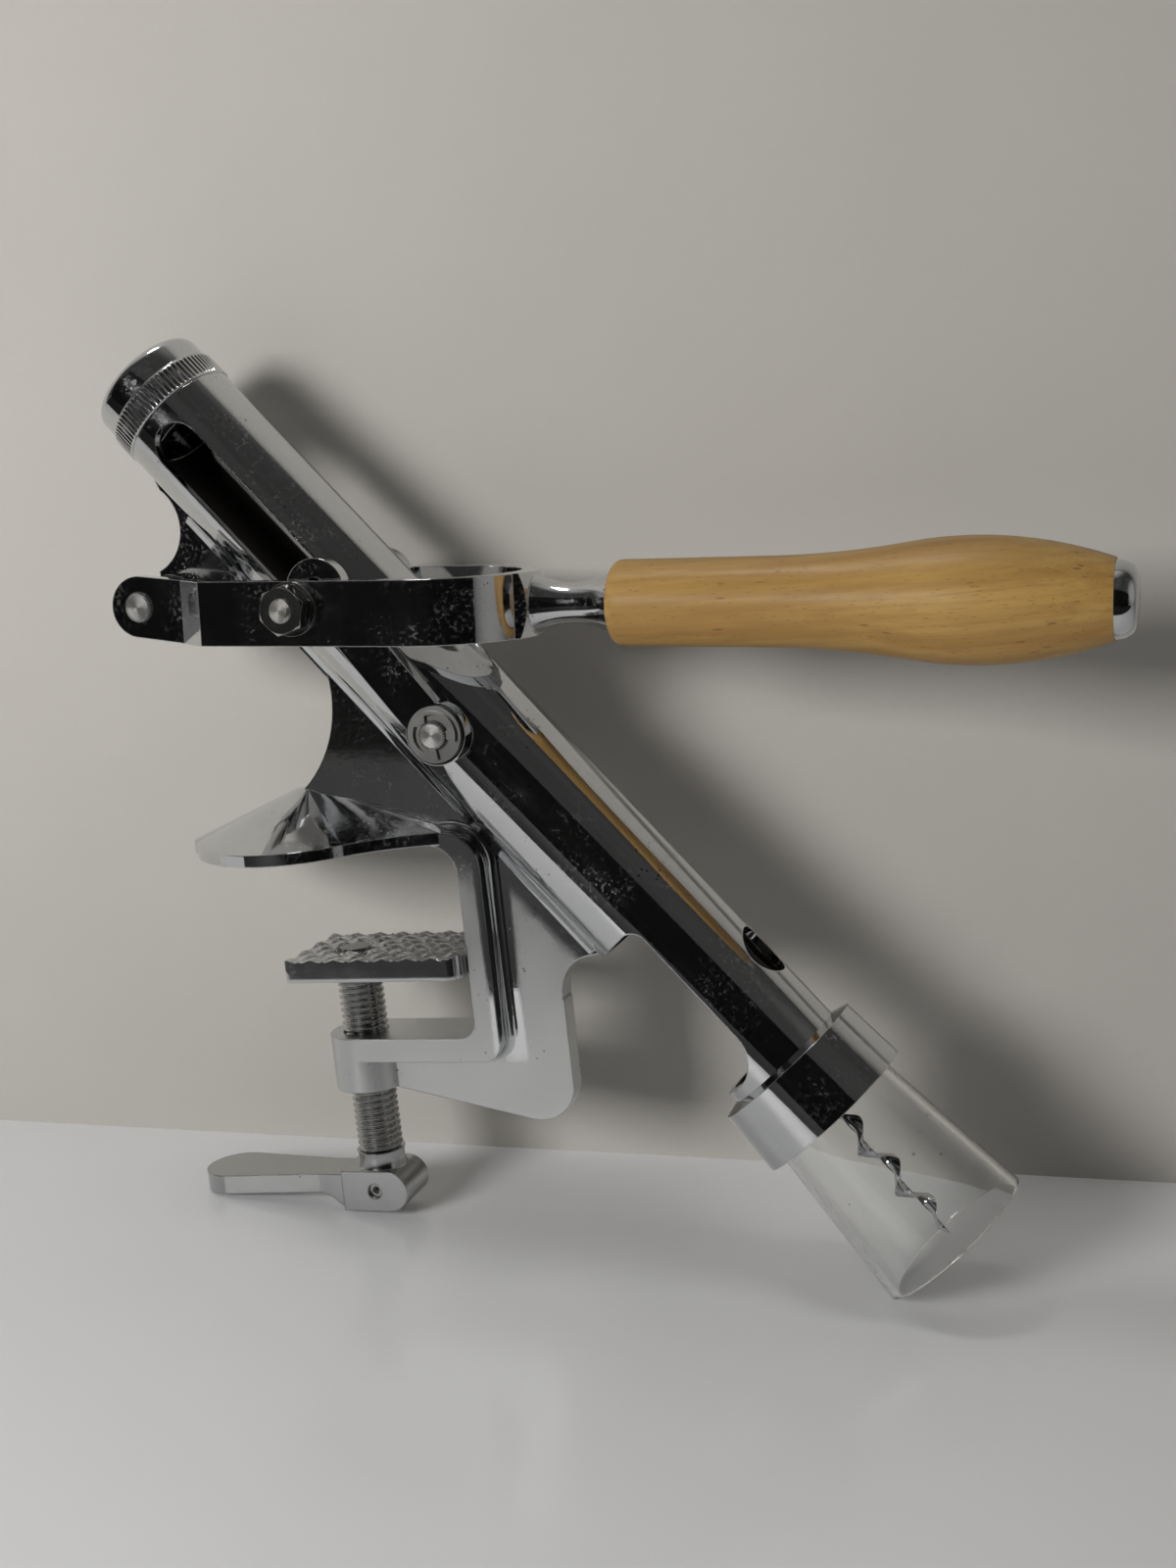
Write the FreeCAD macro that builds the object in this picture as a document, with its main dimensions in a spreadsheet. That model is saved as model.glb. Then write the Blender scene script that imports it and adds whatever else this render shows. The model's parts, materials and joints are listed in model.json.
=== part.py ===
import FreeCAD, Part
import os
import re
import Sketcher

# Counter mount corkscrew.  The origin is on the clamp screw's axis, in the flat underside of the
# upper jaw, which sits on the counter.  +X points along the lever's grip, +Y away from the user's
# right hand and +Z up.  The barrel slopes down towards +X and carries the bottle cup at its end.
#
# "Station" is a distance along the barrel's axis, downwards, from the foot of the square line that
# runs from the rear pivot to that axis.  Near is the -Y side and far is the +Y side.

DOC = FreeCAD.newDocument("counter_mount_corkscrew")
SHEET = DOC.addObject("Spreadsheet::Sheet", "Sizes")

SIZES = {
    # layout
    "pivot_back": 39.3,         # rear pivot behind the clamp screw's axis
    "pivot_rise": 66.5,         # rear pivot above the counter
    "barrel_angle": 50,         # slope of the barrel below the horizontal, degrees
    "barrel_offset": 36.5,      # rear pivot to barrel axis
    "lever_tilt": 4.2,          # slope of the lowered lever, degrees
    "arm_reach": 46.8,          # rear pivot to link stud
    "link_length": 46.3,        # link stud to carriage pin
    # clearances
    "running_gap": 0.05,        # radial, shaft in bore
    "press_gap": 0.04,          # radial, parts that are pressed or screwed together
    "side_gap": 0.4,            # between flat faces that slide past each other
    "seat_gap": 0.1,            # between faces that are drawn up against each other
    # barrel
    "barrel_dia": 32,
    "carriage_bore": 26,
    "cork_bore": 25,
    "barrel_above": 30,
    "barrel_below": 199,
    "nut_seat": 124,            # station of the step between the two bores
    "slot_above": 20,           # centre of the slots' upper end above the foot
    "slot_below": 1,            # centre of the slots' lower end below the lowered pin
    "slot_clearance": 0.3,      # each side of a bushing
    "window_start": 145.5,
    "window_end": 191,
    "window_rim": 0.8,          # height of the window's long edges above the axis
    "window_corner": 4,
    "window_sweep": 9,
    "push_hole_dia": 14,
    "push_hole_station": 171,
    # web between barrel, jaw and clamp
    "web_thickness": 6,
    "web_root": 3,              # width of the hollow root between web and barrel
    "flange_root": 2,           # fillet between web and flange
    "fin_top_station": 21.4,
    "fin_top_depth": 17.1,      # barrel axis to the start of the fin's upper hollow
    "fin_waist": 6,             # depth of the upper hollow
    "fin_lug_back": 2.2,
    "fin_lug_rise": 8.1,
    "fin_shoulder": 54,
    "fin_hollow": 6.9,          # depth of the lower hollow
    "fin_foot": 7.6,            # clamp screw's axis to the fin's foot on the jaw
    "web_reach": 58.2,          # clamp screw's axis to the web's outer edge
    "web_step": 42,
    "web_toe_station": 142.3,
    "web_toe_depth": 19.1,
    "web_toe_hollow": 2.6,
    "web_end_station": 145,
    "heel_back": 46.7,
    "heel_depth": 74.4,
    "heel_rise": 66,
    "heel_bow": 3.1,
    # clamp frame
    "flange_width": 19,
    "flange_thickness": 6.2,
    "throat_depth": 35.7,       # clamp screw's axis to the throat's back
    "throat_height": 50.8,
    "throat_corner_top": 8,
    "throat_corner_low": 5,
    "flange_corner_top": 10,
    "flange_corner_low": 5,
    "flange_start": 15,
    "boss_height": 14.7,
    "lug_dia": 14,
    "lug_width": 28.4,
    "pivot_pin_dia": 7.5,
    # upper jaw
    "jaw_nose": 42.5,           # clamp screw's axis to the jaw's tip
    "jaw_shoulder": 38.5,
    "jaw_shoulder_half": 8,
    "jaw_widest": 12.6,
    "jaw_half_width": 29.4,
    "jaw_side_bow": 3.6,
    "jaw_hip": 10.3,
    "jaw_hip_half": 20.6,
    "jaw_hip_bow": 3.4,
    "jaw_neck": 27.5,
    "jaw_neck_half": 10.7,
    "jaw_neck_hollow": 1.5,
    "jaw_rim": 3.1,
    "jaw_crown": 15,
    "jaw_taper": 0.1,           # size of the crown's top against the jaw's plan
    # end cap, collar, cup
    "cap_knurl_dia": 32.6,
    "cap_knurl_length": 6.8,
    "cap_dia": 31.2,
    "cap_length": 7.6,          # smooth part beyond the knurled band
    "cap_edge": 2.6,
    "cap_spigot": 5,
    "cap_wall": 3,
    "collar_start": 195,
    "collar_length": 16.5,
    "collar_shoulder": 1.2,     # rise of the collar's back face towards the barrel
    "collar_back_dia": 40.6,
    "collar_front_dia": 42.6,
    "cup_neck_dia": 34.5,
    "cup_mouth_dia": 42.3,
    "cup_length": 42,           # free length beyond the collar
    "cup_wall": 2,
    # carriage, spindle and worm
    "carriage_above": 12,
    "carriage_below": 22,
    "head_socket_dia": 18,
    "head_socket_start": 8,     # below the pin's axis
    "thrust_washer_thickness": 1,
    "spindle_head_dia": 17,
    "spindle_head_length": 6,
    "spindle_dia": 10,
    "spindle_end": 205,         # station of the lowered spindle's end
    "nut_length": 18,
    "worm_shank_dia": 5,
    "worm_shank_length": 12,
    "worm_dia": 8,
    "worm_core_dia": 0.8,       # open core inside the coil
    "worm_web": 3.4,            # thickness of the coil's blade along the axis
    "worm_lead": 13,
    "worm_start": 1.8,          # spindle's end to the middle of the first turn's blade
    "worm_length": 46,
    "worm_point": 9,            # length of the ground point
    "carriage_pin_dia": 7,
    "carriage_pin_length": 46.8,
    "bushing_dia": 11.4,
    "pin_washer_dia": 14,
    "pin_washer_thickness": 0.8,
    "clip_dia": 12,
    "clip_thickness": 0.9,
    # links
    "link_inner": 16.7,         # mid-plane to the link's inner face
    "link_thickness": 4,
    "link_width": 10.5,
    "link_eye_dia": 15.6,
    "stud_dia": 6,
    "stud_play": 0.1,
    # lever
    "arm_thickness": 4,
    "arm_height": 16,
    "arm_inner": 21.3,          # mid-plane to an arm's inner face
    "ear_inner": 14.6,
    "ear_thickness": 4,
    "ear_height": 15.7,
    "ear_reach": 12.4,          # rear pivot to the start of the set
    "set_end": 21.2,            # rear pivot to the end of the set
    "ring_centre": 74.7,        # rear pivot to the centre of the ring's end
    "grip_drop": 1.3,           # grip axis below the rear pivot
    "root_half": 13,
    "root_curve": 5,
    "root_shoulder": 4,         # length of the turned shoulder at the root's front
    "neck_start": 100,
    "neck_dia": 15.8,
    "neck_hollow": 2.9,
    "grip_start": 121.2,
    "tang_dia": 8,
    "tang_end": 236,
    "grip_front_dia": 21,
    "grip_round": 2.6,
    "grip_waist": 161.5,
    "grip_waist_dia": 21.7,
    "grip_hollow": 0.6,
    "grip_swell": 192.8,
    "grip_swell_dia": 27.2,
    "grip_bow": 2.96,
    "grip_end": 238.9,
    "grip_end_dia": 19,
    "button_dia": 18,
    "button_sink": 1,
    "button_height": 5,
    "button_face_dia": 12,
    "button_bow": 1.1,
    "button_sleeve_dia": 12,
    "button_sleeve_length": 13,
    "pivot_pin_length": 39.4,
    "stud_length": 11,
    "nut_width": 11,
    "nut_thickness": 5,
    "stud_washer_dia": 13.4,
    "stud_washer_thickness": 0.9,
    # clamp
    "clamp_opening": 28,
    "plate_thickness": 6,
    "plate_half_width": 14.5,
    "plate_back": 13.6,         # clamp screw's axis to the plate's outer edge
    "plate_corner": 5,
    "screw_dia": 12,
    "screw_neck_dia": 8,
    "screw_length": 49.4,       # plate's underside to the shoulder on the crank
    "screw_shank_dia": 9,
    "screw_shank_length": 12,
    "tip_recess_dia": 11,
    "tip_recess_depth": 2.4,
    "tip_clip_dia": 10.2,
    "tip_clip_thickness": 0.9,
    "tip_groove_dia": 6.4,
    "crank_hub_drop": 4.6,      # screw's shoulder to the top of the crank's hub
    "crank_hub_height": 11,
    "crank_hub_nose": 9.5,
    "crank_hub_half_width": 7,
    "crank_blade_drop": 1.3,    # hub's top to blade's top
    "crank_blade_thickness": 5.2,
    "crank_reach": 53,
    "crank_waist": 17,
    "crank_waist_half": 6,
    "crank_heel": 7,            # screw's axis to where the hub's underside starts to rise
    "crank_heel_curve": 0.5,
    "crank_tip_half": 9,
    "crank_collar_dia": 13,
    "crank_skirt_dia": 15,
    "crank_skirt_hollow": 0.4,
    "crank_pin_dia": 4,
    "crank_pin_bore": 2,
    "crank_pin_recess": 1,
}

for row, (alias, size) in enumerate(SIZES.items(), start=1):
    SHEET.set(f"A{row}", alias)
    SHEET.set(f"B{row}", str(size))
    SHEET.setAlias(f"B{row}", alias)
DOC.recompute()


# ---------------------------------------------------------------------------- derived places

def sized(text):
    """Puts the sheet's name before each alias in an expression."""
    return re.sub(r"(?<![.\w])[a-z]\w*",
                  lambda word: "Sizes." + word[0] if word[0] in SIZES else word[0], text)


def number(expression):
    return float(SHEET.evalExpression(expression))


DOWN_X = sized("cos(barrel_angle)")
DOWN_Z = sized("(0 - sin(barrel_angle))")
OUT_X = sized("sin(barrel_angle)")
OUT_Z = sized("cos(barrel_angle)")
PIVOT_X = sized("(0 - pivot_back)")
PIVOT_Z = sized("pivot_rise")
FOOT_X = sized(f"({PIVOT_X} + barrel_offset * {OUT_X})")
FOOT_Z = sized(f"({PIVOT_Z} + barrel_offset * {OUT_Z})")
STUD_X = sized(f"({PIVOT_X} + arm_reach * cos(lever_tilt))")
STUD_Z = sized(f"({PIVOT_Z} - arm_reach * sin(lever_tilt))")
STUD_STATION = sized("arm_reach * cos(barrel_angle - lever_tilt)")
STUD_HEIGHT = sized("(arm_reach * sin(barrel_angle - lever_tilt) - barrel_offset)")
PIN = sized(f"({STUD_STATION} + sqrt(link_length ^ 2 - {STUD_HEIGHT} ^ 2))")
LINK_TURN = sized(f"barrel_angle - 180 - asin({STUD_HEIGHT} / link_length) / 1 deg")
LINK_OUTER = sized("(link_inner + link_thickness)")
ARM_OUTER = sized("(arm_inner + arm_thickness)")
PLATE_UNDER = sized("(0 - clamp_opening - plate_thickness)")
SCREW_END = sized(f"({PLATE_UNDER} - seat_gap - screw_length)")
HUB_TOP = sized(f"({SCREW_END} - crank_hub_drop)")
HUB_AXIS = sized(f"({HUB_TOP} - crank_hub_height / 2)")


def on_barrel(station, height):
    """X and Z of a point of the mid-plane, given along the barrel and square to it."""
    return (
        sized(f"{FOOT_X} + ({station}) * {DOWN_X} + ({height}) * {OUT_X}"),
        sized(f"{FOOT_Z} + ({station}) * {DOWN_Z} + ({height}) * {OUT_Z}"),
    )


PIN_X, PIN_Z = on_barrel(PIN, "0")


# ---------------------------------------------------------------------------- drawing helpers

def new_body(label):
    body = DOC.addObject("PartDesign::Body", label)
    body.Label = label
    return body


def bind(thing, **expressions):
    for path, expression in expressions.items():
        thing.setExpression(path.replace("__", "."), sized(expression))


def place(thing, x="0", y="0", z="0", turn=None, axis=FreeCAD.Vector(0, 1, 0)):
    """Binds a placement: a base point and a turn in degrees about one axis."""
    bind(thing, Placement__Base__x=x, Placement__Base__y=y, Placement__Base__z=z)
    if turn:
        thing.Placement = FreeCAD.Placement(FreeCAD.Vector(), FreeCAD.Rotation(axis, 1))
        bind(thing, Placement__Rotation__Angle=turn)


def place_in_barrel(thing):
    """The Z axis runs down the barrel from the foot, the X axis to the underside."""
    place(thing, FOOT_X, "0", FOOT_Z, "90 + barrel_angle")


def place_in_lever(thing):
    """The X axis runs from the rear pivot along the lever."""
    place(thing, PIVOT_X, "0", PIVOT_Z, "lever_tilt")


def new_sketch(body, role, name, x="0", y="0", lift="0", turn=None, axis=FreeCAD.Vector(0, 0, 1)):
    sketch = body.newObject("Sketcher::SketchObject", body.Label + "_" + name)
    support = [plane for plane in body.Origin.OriginFeatures if plane.Role == role][0]
    sketch.AttachmentSupport = (support, [""])
    sketch.MapMode = "FlatFace"
    bind(sketch, AttachmentOffset__Base__x=x, AttachmentOffset__Base__y=y,
         AttachmentOffset__Base__z=lift)
    if turn:
        sketch.AttachmentOffset = FreeCAD.Placement(FreeCAD.Vector(), FreeCAD.Rotation(axis, 1))
        bind(sketch, AttachmentOffset__Rotation__Angle=turn)
    return sketch


def barrel_sketch(body, name):
    """A sketch in the mid-plane whose X axis is the barrel's own, from the foot downwards."""
    return new_sketch(body, "XZ_Plane", name, x=FOOT_X, y=FOOT_Z, turn="0 - barrel_angle")


def fix_point(sketch, geometry, end, x, y):
    for kind, axis, expression in (("DistanceX", -2, x), ("DistanceY", -1, y)):
        if expression == "0":
            sketch.addConstraint(Sketcher.Constraint("PointOnObject", geometry, end, axis))
            continue
        value = number(expression)
        index = sketch.addConstraint(Sketcher.Constraint(kind, -1, 1, geometry, end, value))
        sketch.setExpression(f"Constraints[{index}]", expression)


def outline(sketch, *corners):
    """Draws a closed outline, counterclockwise.

    A corner is (x, y), or (x, y, kind, size) where the side that leaves it is an arc: "round" and
    "hollow" give the radius of an arc that bends outwards or inwards, "bow" and "sag" its height
    over the straight line.
    """
    corners = [tuple(sized(value) for value in corner) for corner in corners]
    points = [FreeCAD.Vector(number(corner[0]), number(corner[1]), 0) for corner in corners]
    followers = corners[1:] + corners[:1]
    sides = []
    for corner, follower, start, end in zip(corners, followers, points, points[1:] + points[:1]):
        if len(corner) == 2:
            sides.append((sketch.addGeometry(Part.LineSegment(start, end), False), 1, 2))
            continue
        x, y, kind, size = corner
        radius = size
        if kind in ("bow", "sag"):
            run = f"((({follower[0]}) - ({x})) ^ 2 + (({follower[1]}) - ({y})) ^ 2)"
            radius = f"{run} / 8 / ({size}) + ({size}) / 2"
        chord = end - start
        height = number(radius) - (number(radius) ** 2 - (chord.Length / 2) ** 2) ** 0.5
        outwards = FreeCAD.Vector(chord.y, -chord.x, 0).normalize()
        bulge = height if kind in ("round", "bow") else -height
        middle = (start + end) / 2 + outwards * bulge
        side = sketch.addGeometry(Part.Arc(start, middle, end), False)
        sides.append((side, 1, 2) if bulge > 0 else (side, 2, 1))
        index = sketch.addConstraint(Sketcher.Constraint("Radius", side, number(radius)))
        sketch.setExpression(f"Constraints[{index}]", radius)
    for (side, _, end), (follower, start, _) in zip(sides, sides[1:] + sides[:1]):
        sketch.addConstraint(Sketcher.Constraint("Coincident", side, end, follower, start))
    for (side, start, _), corner in zip(sides, corners):
        fix_point(sketch, side, start, corner[0], corner[1])


def circle(sketch, x, y, diameter):
    x, y, diameter = sized(x), sized(y), sized(diameter)
    centre = FreeCAD.Vector(number(x), number(y), 0)
    shape = Part.Circle(centre, FreeCAD.Vector(0, 0, 1), number(diameter) / 2)
    geometry = sketch.addGeometry(shape, False)
    fix_point(sketch, geometry, 3, x, y)
    index = sketch.addConstraint(Sketcher.Constraint("Diameter", geometry, number(diameter)))
    sketch.setExpression(f"Constraints[{index}]", diameter)


def pad(body, sketch, length, symmetric=False, reverse=False):
    feature = body.newObject("PartDesign::Pad", sketch.Name + "_pad")
    feature.Profile = sketch
    feature.SideType = "Symmetric" if symmetric else "One side"
    feature.Reversed = reverse
    bind(feature, Length=length)
    DOC.recompute()
    return feature


def pocket(body, sketch, length, symmetric=False, reverse=False):
    before = body.Tip.Shape.Volume
    feature = body.newObject("PartDesign::Pocket", sketch.Name + "_pocket")
    feature.Profile = sketch
    feature.SideType = "Symmetric" if symmetric else "One side"
    feature.Reversed = reverse
    bind(feature, Length=length)
    DOC.recompute()
    if feature.Shape.Volume > before - 0.01:
        raise RuntimeError(f"{feature.Name} cuts nothing")
    return feature


def turn(body, sketch, axis="V_Axis", kind="Revolution"):
    feature = body.newObject("PartDesign::" + kind, sketch.Name + "_turned")
    feature.Profile = sketch
    feature.ReferenceAxis = (sketch, [axis])
    feature.Angle = 360
    DOC.recompute()
    return feature


def blend(body, size, test, kind="Fillet"):
    """Fillets or chamfers the edges of the body so far that pass a test."""
    base = body.Tip
    edges = [f"Edge{place}" for place, edge in enumerate(base.Shape.Edges, start=1) if test(edge)]
    feature = body.newObject("PartDesign::" + kind, base.Name + "_" + kind.lower())
    feature.Base = (base, edges)
    bind(feature, **{"Radius" if kind == "Fillet" else "Size": size})
    DOC.recompute()
    return feature


def turned(label, *corners):
    """A piece turned about its own Z axis; a corner is (radius, height)."""
    body = new_body(label)
    sketch = new_sketch(body, "XZ_Plane", "profile")
    outline(sketch, *corners)
    turn(body, sketch)
    return body


def ring(label, diameter, bore, length):
    """A washer, bushing, clip or ring nut that stands on the XY plane."""
    return turned(label,
                  (f"({bore}) / 2", "0"),
                  (f"({diameter}) / 2", "0"),
                  (f"({diameter}) / 2", length),
                  (f"({bore}) / 2", length))


def place_across(thing, x, z, inner, side):
    """Stands a piece on the plane at the given distance from the mid-plane, pointing outwards."""
    place(thing, x, f"({inner}) * {side}", z, "90", FreeCAD.Vector(-side, 0, 0))


SIDES = (("near", -1), ("far", 1))
PIECES = []


# ---------------------------------------------------------------------------- casting

casting = new_body("barrel_casting")
PIECES.append(casting)

JAW_END = "throat_depth + flange_thickness - flange_corner_top"
JAW_PLAN = (
    (JAW_END, "flange_width / 2"),
    ("jaw_neck", "jaw_neck_half", "sag", "jaw_neck_hollow"),
    ("jaw_hip", "jaw_hip_half", "bow", "jaw_hip_bow"),
    ("-jaw_widest", "jaw_half_width", "bow", "jaw_side_bow"),
    ("-jaw_shoulder", "jaw_shoulder_half", "bow", "jaw_nose - jaw_shoulder"),
    ("-jaw_shoulder", "-jaw_shoulder_half", "bow", "jaw_side_bow"),
    ("-jaw_widest", "-jaw_half_width", "bow", "jaw_hip_bow"),
    ("jaw_hip", "-jaw_hip_half", "sag", "jaw_neck_hollow"),
    ("jaw_neck", "-jaw_neck_half"),
    (JAW_END, "-flange_width / 2"),
)


def jaw_outline(sketch, scale):
    """The jaw's plan, drawn smaller about the fin's foot."""
    outline(sketch, *(
        (f"({x} + fin_foot) * {scale} - fin_foot", f"({y}) * {scale}", *(
            (arc[0], f"({arc[1]}) * {scale}") if arc else ()))
        for x, y, *arc in JAW_PLAN))


rim = new_sketch(casting, "XY_Plane", "jaw_rim")
jaw_outline(rim, "1")
pad(casting, rim, "jaw_rim")
crown_base = new_sketch(casting, "XY_Plane", "crown_base", lift="jaw_rim")
jaw_outline(crown_base, "1")
crown_top = new_sketch(casting, "XY_Plane", "crown_top", lift="jaw_crown")
jaw_outline(crown_top, "jaw_taper")
crown = casting.newObject("PartDesign::AdditiveLoft", "barrel_casting_crown")
crown.Profile = crown_base
crown.Sections = [crown_top]
crown.Ruled = True
DOC.recompute()

flange = new_sketch(casting, "XZ_Plane", "flange")
outline(flange,
        ("0", "-throat_height - flange_thickness"),
        ("throat_depth + flange_thickness - flange_corner_low", "-throat_height - flange_thickness",
         "round", "flange_corner_low"),
        ("throat_depth + flange_thickness",
         "-throat_height - flange_thickness + flange_corner_low"),
        ("throat_depth + flange_thickness", "jaw_rim - flange_corner_top",
         "round", "flange_corner_top"),
        ("throat_depth + flange_thickness - flange_corner_top", "jaw_rim"),
        ("flange_start", "jaw_rim"),
        ("flange_start", "0"),
        ("throat_depth - throat_corner_top", "0", "hollow", "throat_corner_top"),
        ("throat_depth", "-throat_corner_top"),
        ("throat_depth", "throat_corner_low - throat_height", "hollow", "throat_corner_low"),
        ("throat_depth - throat_corner_low", "-throat_height"),
        ("0", "-throat_height"))
pad(casting, flange, "flange_width", symmetric=True)

BOSS_EDGE = "(screw_dia + flange_width) / 4"
boss = new_sketch(casting, "XY_Plane", "boss", lift="-throat_height - boss_height")
circle(boss, "0", "0", "flange_width")
pad(casting, boss, "boss_height")

lug = new_sketch(casting, "XZ_Plane", "lug")
circle(lug, PIVOT_X, PIVOT_Z, "lug_dia")
pad(casting, lug, "lug_width", symmetric=True)

WALL_MIDDLE = "-(barrel_dia + carriage_bore) / 4"
web = new_sketch(casting, "XZ_Plane", "web")
outline(web,
        on_barrel("-barrel_above", WALL_MIDDLE),
        (*on_barrel("-fin_top_station", "-fin_top_depth"), "sag", "fin_waist"),
        (f"{PIVOT_X} - fin_lug_back", f"{PIVOT_Z} + fin_lug_rise"),
        (f"{PIVOT_X} - fin_lug_back", PIVOT_Z),
        (PIVOT_X, f"{PIVOT_Z} - lug_dia / 2"),
        ("0", "fin_shoulder", "sag", "fin_hollow"),
        ("-fin_foot", "jaw_crown"),
        ("-fin_foot", "jaw_rim / 2"),
        ("throat_depth - throat_corner_top", "jaw_rim / 2"),
        ("throat_depth", "0"),
        ("throat_depth + flange_thickness / 2", "-throat_corner_top"),
        ("throat_depth + flange_thickness / 2", "-throat_height - flange_thickness / 2"),
        (BOSS_EDGE, "-throat_height - flange_thickness / 2"),
        (BOSS_EDGE, "-throat_height - boss_height"),
        ("heel_back", "-heel_depth", "bow", "heel_bow"),
        ("web_reach", "-heel_rise"),
        ("web_reach", "-web_step", "sag", "web_toe_hollow"),
        on_barrel("web_toe_station", "-web_toe_depth"),
        on_barrel("web_end_station", WALL_MIDDLE))
pad(casting, web, "web_thickness", symmetric=True)


def flange_root(edge):
    """Where the web's sides meet the flange's outer face, below the jaw."""
    first, last = edge.ParameterRange
    spots = [edge.valueAt(first + (last - first) * share) for share in (0, 0.5, 1)]
    half = number(sized("web_thickness / 2"))
    if any(abs(abs(spot.y) - half) > 0.0001 for spot in spots):
        return False
    right = number(sized("throat_depth + flange_thickness"))
    foot = number(sized("-throat_height - flange_thickness"))
    upright = abs(spots[1].x - right) < 0.001 and foot < spots[1].z < 0
    corner = right - number(sized("flange_corner_low")) < spots[1].x < right and (
        foot < spots[1].z < foot + number(sized("flange_corner_low")))
    level = abs(spots[1].z - foot) < 0.001 and number(sized(BOSS_EDGE)) < spots[1].x < right
    return upright or corner or level


blend(casting, "flange_root", flange_root)

tube = barrel_sketch(casting, "tube")
outline(tube,
        ("-barrel_above", "0"),
        ("barrel_below", "0"),
        ("barrel_below", "barrel_dia / 2"),
        ("-barrel_above", "barrel_dia / 2"))
turn(casting, tube, "H_Axis")


ROOT_SIDE = "(web_thickness / 2 + web_root)"
ROOT_SINK = "((barrel_dia + carriage_bore) / 4)"
ROOT_MEETS = f"sqrt((barrel_dia / 2) ^ 2 - {ROOT_SIDE} ^ 2)"
root_x, root_z = on_barrel("-fin_top_station / 2", "0")
root = new_sketch(casting, "XY_Plane", "root", x=root_x, lift=root_z, turn="90 + barrel_angle",
                  axis=FreeCAD.Vector(0, 1, 0))
outline(root,
        (ROOT_SINK, f"-{ROOT_SIDE} / 2"),
        (f"{ROOT_MEETS} - web_root / 8", f"-{ROOT_SIDE}", "sag", "web_root / 4"),
        ("barrel_dia / 2 + web_root", "-web_thickness / 2 + web_root / 16"),
        ("barrel_dia / 2 + web_root", "web_thickness / 2 - web_root / 16", "sag", "web_root / 4"),
        (f"{ROOT_MEETS} - web_root / 8", ROOT_SIDE),
        (ROOT_SINK, f"{ROOT_SIDE} / 2"))
pad(casting, root, "web_toe_station + fin_top_station / 2")

bores = barrel_sketch(casting, "bores")
outline(bores,
        ("-barrel_above - 1", "0"),
        ("barrel_below + 1", "0"),
        ("barrel_below + 1", "cork_bore / 2"),
        ("nut_seat", "cork_bore / 2"),
        ("nut_seat", "carriage_bore / 2"),
        ("-barrel_above - 1", "carriage_bore / 2"))
turn(casting, bores, "H_Axis", "Groove")

SLOT_HALF = "(bushing_dia / 2 + slot_clearance)"
slots = barrel_sketch(casting, "slots")
outline(slots,
        ("-slot_above", f"-{SLOT_HALF}"),
        (f"{PIN} + slot_below", f"-{SLOT_HALF}", "round", SLOT_HALF),
        (f"{PIN} + slot_below + {SLOT_HALF}", "0", "round", SLOT_HALF),
        (f"{PIN} + slot_below", SLOT_HALF),
        ("-slot_above", SLOT_HALF, "round", SLOT_HALF),
        (f"-slot_above - {SLOT_HALF}", "0", "round", SLOT_HALF))
pocket(casting, slots, "barrel_dia + 2", symmetric=True)

window = barrel_sketch(casting, "window")
outline(window,
        ("window_start", "-barrel_dia"),
        ("window_end", "-barrel_dia"),
        ("window_end", "window_rim - window_sweep", "round", "window_sweep"),
        ("window_end - window_sweep", "window_rim"),
        ("window_start + window_corner", "window_rim", "round", "window_corner"),
        ("window_start", "window_rim - window_corner"))
pocket(casting, window, "barrel_dia + 2", symmetric=True)

PUSH_X, PUSH_Z = on_barrel("push_hole_station", "0")
push_hole = new_sketch(casting, "YZ_Plane", "push_hole", y=PUSH_Z, lift=PUSH_X,
                       turn="barrel_angle - 90", axis=FreeCAD.Vector(1, 0, 0))
circle(push_hole, "0", "0", "push_hole_dia")
pocket(casting, push_hole, "barrel_dia", reverse=True)

screw_hole = new_sketch(casting, "XY_Plane", "screw_hole", lift="-throat_height")
circle(screw_hole, "0", "0", "screw_dia + 2 * running_gap")
pocket(casting, screw_hole, "boss_height + 1")

pivot_hole = new_sketch(casting, "XZ_Plane", "pivot_hole")
circle(pivot_hole, PIVOT_X, PIVOT_Z, "pivot_pin_dia + 2 * running_gap")
pocket(casting, pivot_hole, "lug_width + 2", symmetric=True)

# ---------------------------------------------------------------------------- end cap, collar, cup

CAP_SEAT = "(-barrel_above - seat_gap)"
CAP_TOP = f"({CAP_SEAT} - cap_knurl_length - cap_length)"
SPIGOT = "(carriage_bore / 2 - press_gap)"
cap = turned("barrel_end_cap",
             ("0", CAP_TOP),
             ("cap_dia / 2 - cap_edge", CAP_TOP, "round", "cap_edge"),
             ("cap_dia / 2", f"{CAP_TOP} + cap_edge"),
             ("cap_dia / 2", f"{CAP_SEAT} - cap_knurl_length"),
             ("cap_knurl_dia / 2", f"{CAP_SEAT} - cap_knurl_length"),
             ("cap_knurl_dia / 2", CAP_SEAT),
             (SPIGOT, CAP_SEAT),
             (SPIGOT, f"{CAP_SEAT} + cap_spigot"),
             (f"{SPIGOT} - cap_wall", f"{CAP_SEAT} + cap_spigot"),
             (f"{SPIGOT} - cap_wall", f"{CAP_TOP} + cap_wall"),
             ("0", f"{CAP_TOP} + cap_wall"))
place_in_barrel(cap)
PIECES.append(cap)

COLLAR_END = "(collar_start + collar_length)"
CUP_SEAT = "(cup_neck_dia / 2 + press_gap)"
collar = turned("neck_collar",
                ("barrel_dia / 2 + press_gap", "collar_start - collar_shoulder"),
                ("collar_back_dia / 2", "collar_start"),
                ("collar_front_dia / 2", COLLAR_END),
                (CUP_SEAT, COLLAR_END),
                (CUP_SEAT, "barrel_below"),
                ("barrel_dia / 2 + press_gap", "barrel_below"))
place_in_barrel(collar)
PIECES.append(collar)

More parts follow.
